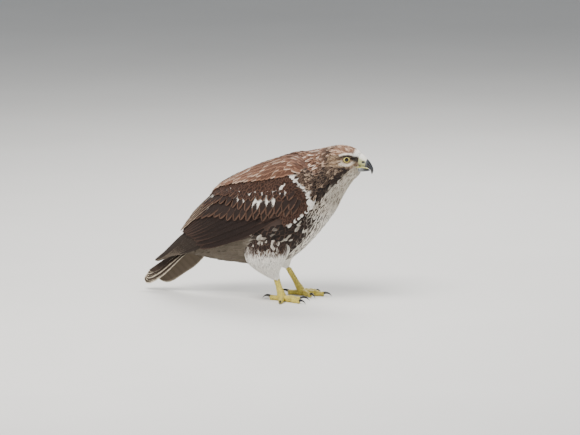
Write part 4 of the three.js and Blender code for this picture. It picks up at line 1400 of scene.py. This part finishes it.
def mark_head(made, at):
    """Rufous crown, tan cheek, the dark malar stripe under it, pale jaw and throat."""
    x, y, z, chance, line, streak = at.x, at.y, at.z, at.chance, at.line, at.streak
    crown = smooth(303, 309, z + 3 * (at.broad - 0.5)) * smooth(88, 100, x)
    made.lay(crown, "crown", 0.7)
    made.lay(crown * smooth(0.5, 0.62, streak), "streak on the crown", 0.45)
    cheek = smooth(84, 98, x) * smooth(306, 301, z) * smooth(278, 286, z)
    made.lay(cheek, "cheek", 0.44)
    made.lay(cheek * smooth(0.56, 0.66, streak), "streak on the cheek", 0.7)
    malar = bell((line - 6) / 9.0) * smooth(136, 124, x) * smooth(6, 14, y) * smooth(289, 281, z)
    made.lay(malar * 1.25, "malar stripe", 0.94)
    jaw = smooth(112, 124, x) * smooth(284, 279, z) * smooth(3, -3, line)
    made.lay(jaw, "jaw", 0.4 * smooth(0.35, 0.55, chance))
    throat = smooth(2, -8, line) * smooth(84, 100, x) * smooth(272, 264, z)
    made.lay(throat, "throat", 0.5 * smooth(0.46, 0.56, chance))


def mark_face(made, at):
    """Round the eye: pale below, a thin stripe behind, a dark lore, painted shade of the brow ahead of the
    eye and in a line over it, white brow and forehead.
    """
    x, z = at.x, at.z
    side_face = smooth(9, 14, at.y)
    out = np.hypot((x - 126.7) / 1.15, z - 295.9)
    under = smooth(8, 9.5, out) * smooth(15, 12, out) * smooth(1, -4, z - 295.9) * side_face
    made.lay(under * 0.9, "under the eye", 0.2)
    stripe = bell((z - 299 + 0.12 * (118 - x)) / 3.0) * smooth(90, 104, x) * smooth(121, 116, x) * side_face
    made.lay(stripe * 0.7, "behind the eye", 0.9)
    made.lay(bell((x - 143.5) / 7.5, (z - 296) / 6.0) * side_face * 1.2, "lore", 0.8)
    # Painted shade of the brow, dark in the front corner ahead of the eye
    made.lay(bell((x - 137) / 5.0, (z - 298.5) / 3.4) * side_face * 1.3, "painted shade at the corner of the eye", 0.8)
    arch = 307.8 - 0.012 * (x - 128) ** 2 + 0.02 * (x - 128)
    brow = bell((z - arch) / 1.7) * smooth(107, 116, x) * smooth(150, 146, x) * side_face
    made.lay(brow * 1.15, "brow", 0.14)
    # A dark line of painted shade cast by the overhang of the brow, just over the eye
    brow_shadow = bell((z - arch + 4.0) / 1.5) * smooth(104, 110, x) * smooth(154, 149, x) * smooth(10, 15, at.y)
    made.lay(brow_shadow * 1.3, "painted shade under the brow", 0.9)
    made.lay(smooth(136, 142, x + 2 * (at.broad - 0.5)) * smooth(301, 304.5, z), "forehead", 0.12)


def body_markings(p):
    """The plumage of head, neck and body by place, over the pale buff of the breast."""
    made, at = Markings(len(p), (226, 219, 205)), Place(p)
    for mark in (mark_breast, mark_neck, mark_head, mark_face):
        mark(made, at)
    return made.values(1.8 * grain(p, 1.1, 13) - 0.4)


def chosen(keep, *arrays):
    return [a[keep] for a in arrays]


def factors(draw, count):
    """A function that draws a factor round 1 for each feather, as far from it as its amount."""
    return lambda amount: 1 + amount * draw.uniform(-1, 1, count)


def off_the_lids(p, side, margin):
    """Whether points keep a margin from the lids of one eye."""
    out, height, _, _ = eye_offset(p, side)
    return (out > LID_RING + margin) | (height < 0)


ROUND = (0, 2 * math.pi)
BODY_SURFACE = Surface(
    body_place, (0.02, 0.01), lambda p, along, across: body_lie(p, along), 1, ((0, HEAD_END), ROUND),
)
# Feathers of head, neck and body by row: length, half width, pitch along and across, sink of the root,
# rise of the tip, bluntness
BODY_FEATHERS = np.array([
    [0, 36, 7.4, 8.4, 8.8, 3.6, 0.7, 4.2],
    [2, 33, 8.2, 9.0, 10.0, 3.8, 0.8, 4.2],
    [5, 31, 8.0, 9.0, 9.6, 3.8, 0.8, 4.2],
    [7, 28, 6.0, 7.6, 7.2, 3.6, 0.8, 3.4],
    [9, 23, 3.6, 6.0, 4.2, 3.2, 0.7, 2.4],
    [11, 17, 2.4, 4.6, 2.7, 2.6, 0.6, 2.0],
    [13, 12, 1.6, 3.5, 1.8, 1.9, 0.45, 2.0],
    [15, 7.0, 1.05, 2.0, 1.25, 1.2, 0.35, 2.2],
    [17, 4.6, 0.75, 1.2, 0.95, 0.9, 0.25, 2.2],
])
# The line of the gape, which stays bare: its height, half its depth, and how far out and back it begins
MOUTH = {"height": 280.6, "half": 1.5, "out": 9, "rear": 138}


def body_size(row):
    """Each column of BODY_FEATHERS at a row of the body."""
    return [np.interp(row, BODY_FEATHERS[:, 0], column) for column in BODY_FEATHERS[:, 1:].T]


def in_mouth(p):
    """Whether points lie on the line of the gape."""
    on_line = np.abs(p[:, 2] - MOUTH["height"]) < MOUTH["half"]
    return on_line & (np.abs(p[:, 1]) > MOUTH["out"]) & (p[:, 0] > MOUTH["rear"])


def body_coat(name, start, stop, seed, material, slot):
    """Feathers over one length of the body, from the bill's side to the tail's."""
    draw = np.random.default_rng(seed)
    u, v = rooted_rows(BODY_SURFACE, start, stop, lambda u: body_size(u)[2], lambda u: body_size(u)[3], draw)
    p = body_place(u, v)
    keep = ~wing_covers(p, UNDER_EDGE) & ~in_mouth(p)
    u, v = chosen(keep & off_the_lids(p, -1, 1.6) & off_the_lids(p, 1, 1.6), u, v)
    length, half, _, _, sink, rise, blunt = body_size(u)
    vary = factors(draw, len(u))
    yaw = YAW * draw.normal(size=len(u))
    spine = spines_by_lie(BODY_SURFACE, u, v, length * vary(0.16), yaw, SMALL)
    path = body_place(*spine)
    clear = np.all(off_the_lids(path, -1, 0.5) & off_the_lids(path, 1, 0.5), axis=1)  # whole feathers
    form = {"rise": rise * vary(0.4), "sink": sink, "crown": 0.12 * half, "blunt": blunt, "cup": 0.10 * half,
            "lean": LEAN * draw.normal(size=len(u))}
    form = {key: value[clear] for key, value in form.items()}
    *markings, half = chosen(clear, *body_markings(path[:, 3]), half * vary(0.15))
    return one_coat(name, material, slot, BODY_SURFACE, chosen(clear, *spine), SMALL, markings, half, **form)


def thigh_coat(name, leg, seed, material, slot):
    """Long soft feathers down one thigh, short and close at the hem."""
    draw = np.random.default_rng(seed)
    lie = lambda p, along, across: unit(along + np.array([0, 0, -6.0]))
    surface = Surface(thigh_place(leg), (0.004, 0.01), lie, leg["side"], ((0, 1.1), ROUND))
    pitch = lambda s: float(np.interp(s, (0, 0.5, 1), (4.4, 3.8, 2.0)))
    gap = lambda s: float(np.interp(s, (0, 0.5, 1), (4.2, 3.4, 1.9)))
    u, v = rooted_rows(surface, 0.04, 0.97, pitch, gap, draw)
    vary = factors(draw, len(u))
    length = np.interp(u, (0, 0.6, 0.85, 1), (25, 19, 12, 7)) * vary(0.15)
    half = np.interp(u, (0, 0.6, 1), (5.4, 4.2, 1.9)) * vary(0.12)
    spine = spines_by_lie(surface, u, v, length, YAW * draw.normal(size=len(u)), SMALL)
    made = thigh_markings(surface.place(u, v), u, v)
    markings = made.values(draw.uniform(size=len(u)))
    return one_coat(name, material, slot, surface, spine, SMALL, markings, half,
                    rise=0.8 * vary(0.4), sink=np.interp(u, (0, 0.8, 1), (3.4, 3.0, 2.0)), blunt=3.8,
                    crown=0.12 * half, cup=0.1 * half, lean=LEAN * draw.normal(size=len(u)))


def thigh_markings(p, u, v):
    """White thighs, faintly spotted outside, dark with pale blotches at the top of the outside."""
    chance = grain(p, 3.0, 21)
    made = Markings(len(u), (244, 240, 230))
    outer = smooth(-0.2, 0.5, np.sin(v))
    spotted = smooth(0.6, 0.72, chance) * smooth(0.62, 0.25, u)
    made.lay(outer, "outer thigh", 0.4 * spotted, bars=0.3 * smooth(0.55, 0.7, chance))
    upper = smooth(0.34, 0.16, u + 0.1 * (chance - 0.5)) * outer
    made.lay(upper, "top of the thigh", 0.86)
    made.lay(upper * smooth(0.66, 0.72, grain(p, 4.4, 22)), "blotch on the flank", 0.6)
    return made


def vent_coat(name, seed, material, slot):
    """Soft plain feathers round the root of the tail, longest beneath it; those beneath are darkened as
    painted shade.
    """
    draw = np.random.default_rng(seed)
    lie = lambda p, along, across: unit(along)
    surface = Surface(tail_core_place, (0.5, 0.01), lie, -1, ((30, 150), ROUND))
    u, v = rooted_rows(surface, 44, 100, lambda u: 4.6, lambda u: 4.4, draw)
    vary = factors(draw, len(u))
    length = 30 * vary(0.2)
    half = 4.6 * vary(0.15)
    spine = spines_by_lie(surface, u, v, length, 0.1 * draw.normal(size=len(u)), SMALL)
    # The underside's buff, darkened as painted shade beneath the tail
    made = Markings(len(u), (96, 87, 75))
    made.lay(smooth(0.2, 0.6, np.cos(v)), "over the tail", 0.7)
    markings = made.values(draw.uniform(size=len(u)))
    return one_coat(name, material, slot, surface, spine, SMALL, markings, half,
                    rise=0.8 * vary(0.6), sink=3.2, blunt=3.4, crown=0.14 * half, cup=0.1 * half)


# Wings and tail

Tier = namedtuple("Tier", "count root tip half rise lean swing")
CovertRow = namedtuple("CovertRow", "count ends line ahead above half rise")

# Flight feathers: how many, then from the first to the last of them root and tip as x and share of the way
# down, half width, height over the wing, lean, and how far their tips swing back in the middle of the row
FLIGHT_TIERS = {
    "primaries": Tier(
        8, [(-150, 0.42), (-150, 0.86)], [(-297, 0.72), (-246, 1.02)], (8.5, 7.5), (-5.0, -5.0), 0.14, 14),
    "secondaries": Tier(
        12, [(-72, 0.36), (6, 0.92)], [(-234, 0.24), (-184, 0.97)], (9, 8), (-1.4, -1.4), 0.13, 12),
    "tertials": Tier(
        5, [(-108, 0.1), (-118, 0.32)], [(-212, 0.12), (-235, 0.34)], (9.5, 9), (2.0, 1.2), 0.13, 0),
}
# Rows of coverts: how many, first and last x, the line of their tips as x and share of the way down, how far
# ahead and above it they are rooted, half width and height over the wing
COVERT_ROWS = {
    "greater": CovertRow(
        16, (-214, 30),
        [(-225, 0.32), (-199, 0.44), (-157, 0.60), (-121, 0.74),
         (-79, 0.81), (-42, 0.88), (-7, 0.91), (46, 0.97)],
        24, 0.24, 9.4, 1.2),
    "second": CovertRow(
        14, (-184, 26),
        [(-190, 0.26), (-160, 0.38), (-120, 0.55), (-86, 0.70),
         (-63, 0.76), (-33, 0.84), (0, 0.87), (46, 0.92)],
        20, 0.22, 8.8, 2.8),
    "first": CovertRow(
        14, (-152, 22),
        [(-160, 0.22), (-125, 0.40), (-79, 0.60), (-52, 0.66), (-20, 0.71), (13, 0.76), (46, 0.83)],
        17, 0.2, 8.2, 4.2),
}
SCAPULAR_EDGE = [(-172, 0.04), (-120, 0.23), (-58, 0.40), (6, 0.48), (30, 0.36), (44, 0.2)]
SCAPULAR_ROWS = (0.12, 0.3, 0.48, 0.65, 0.82, 1.0)
SCAPULARS_IN_ROW = 19
WING_SINK = 3.4
DARK_FEATHER = (50, 38, 32)


def line_at(line, x):
    """The share of the way down the wing of a line given by points, at x."""
    return np.interp(x, *zip(*line))


def tier_spines(tier, shares, draw):
    """Straight spines between a tier's lines of roots and tips. Tips swing back in the middle of the row."""
    s = np.arange(tier.count) / (tier.count - 1)
    roots, (tip_x, tip_t) = ([mix(*ends, s) for ends in zip(*line)] for line in (tier.root, tier.tip))
    tip_x = tip_x - tier.swing * np.sin(np.pi * s) + 2.0 * draw.uniform(-1, 1, tier.count)
    tip_t = tip_t + 0.006 * draw.uniform(-1, 1, tier.count)
    return spines_between(roots, (tip_x, tip_t), shares), s


def wing_surface(side):
    """The folded wing, with the lie of its small feathers: straight back, turned down towards the front."""
    def lie(p, along, across):
        slant = WING_SLANT * smooth(-190, -60, p[..., 0])[..., None]
        return unit(-unit(along) * (1 - 0.5 * slant) + slant * unit(across))
    return Surface(wing_place(side), (0.5, 0.005), lie, side, ((-310, 80), (0, 1)))


def flight_colours(name, s, draw):
    """Flight feathers: dark brown with faint bars and thin paler edges; the innermost have white patches."""
    made = Markings(len(s), DARK_FEATHER)
    whole = np.ones(len(s))
    chance = draw.uniform(size=len(s))
    if name == "primaries":
        made.lay(whole, "primary", 1.0, bars=0.16)
    if name == "secondaries":
        made.lay(whole, "secondary", 1.0, bars=0.16)
        made.lay((s < 0.12) * 1.0, "inner secondary", 0.95)
    if name == "tertials":
        made.lay(whole, "tertial", 0.86, white=0.8 * (chance > 0.4), bars=0.25)
    return made.values(draw.uniform(size=len(s)))


def flight_coat(name, side, seed, material, slot, cell):
    """The wing's flight feathers, from the primaries up to the innermost ones."""
    draw = np.random.default_rng(seed)
    surface = wing_surface(side)
    coat = Coat()
    for key, tier in FLIGHT_TIERS.items():
        spine, s = tier_spines(tier, LONG, draw)
        coat.add(surface, spine, LONG, flight_colours(key, s, draw), mix(*tier.half, s), cell=cell,
                 columns=6, thick=0.35, crown=0.35, rise=mix(*tier.rise, s), sink=WING_SINK, settle=0.4,
                 lean=tier.lean, blunt=9.0)
    return coat.finish(name, material, slot)


def covert_colours(name, x, draw):
    """Coverts: dark brown centres in rufous edges, and white bases where the photo shows them."""
    made = Markings(len(x), DARK_FEATHER)
    chance = draw.uniform(size=len(x))
    widest, white = {
        "greater": (0.98, 0.5 * smooth(-130, -180, x) * (chance > 0.5)),
        "second": (1.0, smooth(-128, -108, x) * smooth(0, -16, x) * mix(0.6, 1.0, chance) * (chance > 0.3)),
        "first": (1.0, smooth(-146, -122, x) * smooth(26, 12, x) * mix(0.74, 1.0, chance) * (chance > 0.35)),
    }[name]
    made.lay(np.ones(len(x)), name + " covert", mix(0.8, widest, chance), white=white)
    return made.values(draw.uniform(size=len(x)))


def covert_coat(name, side, seed, material, slot, cell):
    """Three rows of rounded coverts that hang down and back over one another like tiles."""
    draw = np.random.default_rng(seed)
    surface = wing_surface(side)
    coat = Coat()
    for key, row in COVERT_ROWS.items():
        vary = factors(draw, row.count)
        x = mix(*row.ends, np.arange(row.count) / (row.count - 1)) + 1.6 * draw.uniform(-1, 1, row.count)
        t = line_at(row.line, x) + 0.01 * draw.uniform(-1, 1, row.count)
        upright = smooth(-190, -90, x)
        root = (x + row.ahead * mix(1.9, 0.8, upright), t - row.above * mix(0.45, 1.0, upright))
        spine = spines_between(root, (x, t), LARGE)
        coat.add(surface, spine, LARGE, covert_colours(key, x, draw), row.half * vary(0.07), cell=cell,
                 columns=6, thick=0.3, crown=0.8, rise=row.rise, sink=WING_SINK + 0.6, settle=0.6, lean=0.1,
                 blunt=4.2)
    return coat.finish(name, material, slot)


def scapular_coat(name, side, seed, material, slot, cell):
    """The rounded mass of shoulder feathers over the top of the wing, in rows from the back down."""
    draw = np.random.default_rng(seed)
    surface = wing_surface(side)
    coat = Coat()
    count = SCAPULARS_IN_ROW
    for row, down in enumerate(SCAPULAR_ROWS):
        s = (np.arange(count) + 0.5 * (row % 2)) / count
        x = mix(28, -168, s) + 2.4 * draw.uniform(-1, 1, count)
        t = down * line_at(SCAPULAR_EDGE, x) + 0.012 * draw.uniform(-1, 1, count)
        root = (x + mix(26, 46, s), t - mix(0.1, 0.05, s) - 0.03)
        spine = spines_between(root, (x, t), LARGE)
        coat.add(surface, spine, LARGE, scapular_colours(x, down, draw), mix(7.6, 8.6, s), cell=cell,
                 columns=6, thick=0.3, crown=0.7, rise=7.4 - 0.5 * down, sink=4.4, settle=0.8, lean=0.07,
                 blunt=4.6)
    return coat.finish(name, material, slot)


def scapular_colours(x, down, draw):
    """Rufous brown, some feathers paler; white bases towards the rear of the middle and lowest rows."""
    made = Markings(len(x), (96, 66, 52))
    chance = draw.uniform(size=len(x))
    whites = smooth(-40, -60, x) * (chance > 0.6) * (0.2 < down < 0.6)
    whites = whites + (x < -20) * (down == 1) * (chance > 0.6)
    white = 0.9 * np.minimum(whites, 1)
    made.lay(np.ones(len(x)), "scapular", 0.84, white=white)
    made.lay(smooth(0.55, 0.8, draw.uniform(size=len(x))) * 0.8, "pale scapular", 0.74, white=white)
    return made.values(draw.uniform(size=len(x)))


def small_wing_coat(name, side, seed, material, slot, cell):
    """Close rows of small feathers over the shoulder and the bend of the wing, white along its front rim."""
    draw = np.random.default_rng(seed)
    surface = wing_surface(side)
    at = (-150, 0, 50, 77)
    size = lambda x: float(np.interp(x, at, (7.4, 6.6, 4.6, 2.6)))
    u, v = rooted_rows(surface, 78, -150, size, size, draw, sideways=(-0.02, 1.02))
    first = line_at(COVERT_ROWS["first"].line, u)
    limit = np.where(u > 2, mix(first - 0.12, 1.04, smooth(2, 24, u)), first - 0.13)
    start = np.where(u > 30, -0.1, line_at(SCAPULAR_EDGE, u) - 0.2)
    u, v = chosen((v < limit) & (v > start), u, v)
    vary = factors(draw, len(u))
    length = np.interp(u, at, (25, 22, 15, 9)) * vary(0.08)
    half = np.interp(u, at, (5.6, 5.0, 3.5, 2.1)) * vary(0.06)
    spine = spines_by_lie(surface, u, v, length, 0.05 * draw.normal(size=len(u)), SMALL)
    markings = small_wing_colours(surface.place(u, v), u, v, draw)
    rise = mix(packed_height(u, v) + 2.0, 5.2, smooth(0.86, 0.6, v) * smooth(64, 36, u))
    lean = 0.02 * draw.normal(size=len(u))
    return one_coat(name, material, slot, surface, spine, SMALL, markings, half, cell=cell,
                    rise=rise, sink=3.4, settle=0.9, crown=0.4, blunt=4.4, lean=lean)


def small_wing_colours(p, u, v, draw):
    """Brown with rufous edges, a white rim ahead and below, and the streaked neck's colours past the rim."""
    made = Markings(len(u), (80, 56, 45))
    made.lay(np.ones(len(u)), "small covert", 0.8)
    front = u - 66 + np.maximum(0, p[:, 2] - 238)
    lower = smooth(0.98, 0.995, v) * smooth(-4, 18, u) * (draw.uniform(size=len(u)) > 0.4)
    made.lay(np.maximum(smooth(-1, 1, front), lower), "white rim", 0.2)
    neck_side = smooth(6, 8, front) * smooth(0.84, 0.74, v)
    made.lay(neck_side, "wing by the neck", 0.8)
    made.lay(neck_side * smooth(0.56, 0.66, grain(p, 2.6, 18)), "streak by the neck", 0.6)
    return made.values(draw.uniform(size=len(u)))


def tail_coat(name, seed, material, slot):
    """Twelve tail feathers, each stepping out past the one above it, edged with cream; the right half's step
    down and back, the left half's lie wider and end nearly level."""
    draw = np.random.default_rng(seed)
    surface = Surface(tail_place, (0.5, 0.2), None, -1, ((0, 235), (-60, 60)))
    pairs, sides = (a.ravel() for a in np.meshgrid(np.arange(1, TAIL_PAIRS + 1), (-1, 1), indexing="ij"))
    outer = TAIL_EDGE[0] + TAIL_EDGE[1] * (pairs - 1)
    inner = np.where(pairs == 1, np.where(sides < 0, -11, -1.2), 2)
    level = -TAIL_LAYER * (pairs - (sides < 0))
    step = np.where(sides < 0, TAIL_STEP["right"], TAIL_STEP["left"])
    length = TAIL_LENGTH + step * (pairs - 1) + draw.uniform(-1, 1, len(pairs))
    start = TAIL_START + 3 * pairs
    down = start[:, None] + (length - start)[:, None] * LONG
    left = (sides * (inner + outer) / 2)[:, None] * mix(0.78, 1, LONG)
    made = Markings(len(pairs), (112, 98, 82))
    dark_web = 0.96 - 0.13 * (-1.0) ** pairs
    made.lay(1.0 * (sides < 0), "right tail feather", dark_web, bars=0.2)
    made.lay(1.0 * (sides > 0), "left tail feather", 0.95, bars=0.14)
    markings = made.values(draw.uniform(size=len(pairs)))
    half = (outer - inner) / 2 * np.where(sides > 0, 1 + 0.9 * TAIL_LEFT_WIDER, 1.0)
    return one_coat(name, material, slot, surface, (down, left), LONG, markings, half, rise=level, sink=0.0,
                    columns=10, thick=0.4, crown=0.5, blunt=14.0, base=0.72)


# Stage, lights and camera, placed by the view of the photograph

VIEW_TURN = math.radians(20)  # how far the camera has gone round towards the bird's tail from its right side
VIEW_RISE = math.radians(9)
VIEW_DISTANCE = 13210
VIEW_AIM = (-4.1, 165)  # of the picture's middle, to the right of the bird's origin and above it
LENS = 400
SENSOR = 36
UP = np.array([0, 0, 1.0])
LAMP_AIM = 170
# Lamps: azimuth and rise in degrees, distance, size in metres, power in watts and colour
LAMPS = {
    "key": (-34, 58, 2600, 1.4, 118, (1.0, 0.97, 0.93)),
    "fill": (48, 18, 3000, 2.2, 30, (0.93, 0.96, 1.0)),
    "rim": (165, 52, 2600, 1.4, 80, (1.0, 0.98, 0.95)),
}
SKY = {"colour": (0.86, 0.9, 0.95, 1), "strength": 0.42}
# Lengths of the body's coat: from row and to row of BODY, seed
BODY_COATS = {
    "face_feathers": (16.95, 13.2, 31),
    "crown_feathers": (13.4, 10.6, 32),
    "neck_feathers": (10.8, 8.4, 33),
    "breast_feathers": (8.6, 5.0, 34),
    "belly_feathers": (5.2, 0.3, 35),
}
HALF_CELL = {"right": (0, 0, 0.5, 1), "left": (0.5, 0, 0.5, 1)}  # of the unwrap that both wings share


def view_axes():
    """Right, up and backward directions of the picture."""
    c, s, cr, sr = math.cos(VIEW_TURN), math.sin(VIEW_TURN), math.cos(VIEW_RISE), math.sin(VIEW_RISE)
    return np.array([c, s, 0]), np.array([-s * sr, c * sr, cr]), np.array([s * cr, -c * cr, sr])


def level_back():
    """The way from the bird to the camera, along the floor."""
    back = view_axes()[2]
    return unit(np.array([back[0], back[1], 0]))


def make_camera():
    right, up, back = view_axes()
    aim = right * VIEW_AIM[0] + up * VIEW_AIM[1]
    data = bpy.data.cameras.new("camera")
    data.lens = LENS
    data.sensor_width = SENSOR
    data.clip_start = 0.1
    data.clip_end = 100
    camera = put_object("camera", data)
    camera.location = to_row(aim + back * VIEW_DISTANCE)
    camera.rotation_euler = direction_to(-back).to_euler()
    bpy.context.scene.camera = camera


def direction_to(vector):
    """The turn that points a camera or lamp along a vector, with its top upward."""
    return Vector(vector).to_track_quat("-Z", "Y")


def make_lamp(name, azimuth, rise, distance, size, power, colour):
    """A square soft lamp at an azimuth from the camera's side, aimed at the bird's middle."""
    a, e = math.radians(azimuth), math.radians(rise)
    way = (level_back() * math.cos(a) + view_axes()[0] * math.sin(a)) * math.cos(e) + UP * math.sin(e)
    data = bpy.data.lights.new(name, "AREA")
    data.size, data.energy, data.color = size, power, colour
    lamp = put_object(name, data)
    lamp.location = to_row(UP * LAMP_AIM + way * distance)
    lamp.rotation_euler = direction_to(-way).to_euler()


def make_stage(material):
    """A pale floor that curves up into a backdrop behind the bird: flat, a quarter circle, then a wall."""
    before, behind, bend, wall, half = 15000, 14000, 3000, 7000, 15000
    arc = np.linspace(0, np.pi / 2, 24)
    forward = np.concatenate([[-before], behind + bend * np.sin(arc), [behind + bend]])
    height = np.concatenate([[0], bend * (1 - np.cos(arc)), [wall]])
    line = height[:, None] * UP - forward[:, None] * level_back()
    aside = view_axes()[0] * half
    points = np.concatenate([line - aside, line + aside])
    n = len(line)
    k = np.arange(n - 1)
    quads = np.stack([k, n + k, n + k + 1, k + 1], -1)
    floor = put_mesh("studio_floor", points, [quads], sharp=180)
    floor.data.materials.append(material)


def make_world():
    world = bpy.data.worlds.new("studio")
    world.use_nodes = True
    background = world.node_tree.nodes["Background"]
    background.inputs["Color"].default_value = SKY["colour"]
    background.inputs["Strength"].default_value = SKY["strength"]
    bpy.context.scene.world = world


def make_hard_parts():
    """Eyes, lids, bill, legs and claws."""
    eye, lids = eye_ball(), lid_skin()
    scales, talon = leg_scales(), horn("talon_horn", (30, 29, 31), (12, 12, 13), 0.0, 0.7, 0.2)
    make_bill(
        cere_skin(),
        horn("bill_horn", (150, 155, 160), (24, 25, 29), 0.0, 0.44),
        horn("under_bill_horn", (120, 122, 122), (38, 39, 43), 0.2, 0.8),
        horn("gape_flesh", (206, 200, 96), (178, 168, 84), 0.2, 0.9, 0.4),
    )
    for word, leg in LEGS.items():
        make_eye(leg["side"], word, eye)
        make_lids(leg["side"], word, lids)
        make_leg(word, leg, scales, talon)


def make_coats():
    """The feathers of body, thighs, wings and tail."""
    soft = plumage("body_plumage", barbs=120.0, relief=0.10)
    face = plumage("face_plumage", barbs=60.0, relief=0.05)
    wing = plumage("wing_plumage", barbs=190.0, relief=0.14)
    flight = plumage("flight_plumage", barbs=420.0, relief=0.14, bars=52.0, taper=0.25)
    tail = plumage("tail_plumage", barbs=560.0, relief=0.14, bars=62.0, taper=0.06)
    for name, (start, stop, seed) in BODY_COATS.items():
        material = face if name in ("face_feathers", "crown_feathers") else soft
        slot = "pale_feathers" if name in ("breast_feathers", "belly_feathers") else "head_feathers"
        body_coat(name, start, stop, seed, material, slot)
    vent_coat("vent_feathers", 36, soft, "pale_feathers")
    for word, leg in LEGS.items():
        side, cell = leg["side"], HALF_CELL[word]
        thigh_coat(f"thigh_feathers_{word}", leg, 41 + side, soft, "pale_feathers")
        flight_coat(f"flight_feathers_{word}", side, 51 + side, flight, "wing_feathers", cell)
        covert_coat(f"covert_feathers_{word}", side, 91 + side, wing, "wing_feathers", cell)
        small_wing_coat(f"shoulder_feathers_{word}", side, 61 + side, wing, "wing_feathers", cell)
        scapular_coat(f"back_feathers_{word}", side, 71 + side, wing, "back_feathers", cell)
    tail_coat("tail_feathers", 81, tail, "tail_feathers")


def main():
    make_camera()
    make_stage(studio_floor())
    make_world()
    for name, facts in LAMPS.items():
        make_lamp(name, *facts)
    make_skin(coat_skin())
    make_hard_parts()
    make_coats()


main()
bpy.context.view_layer.update()
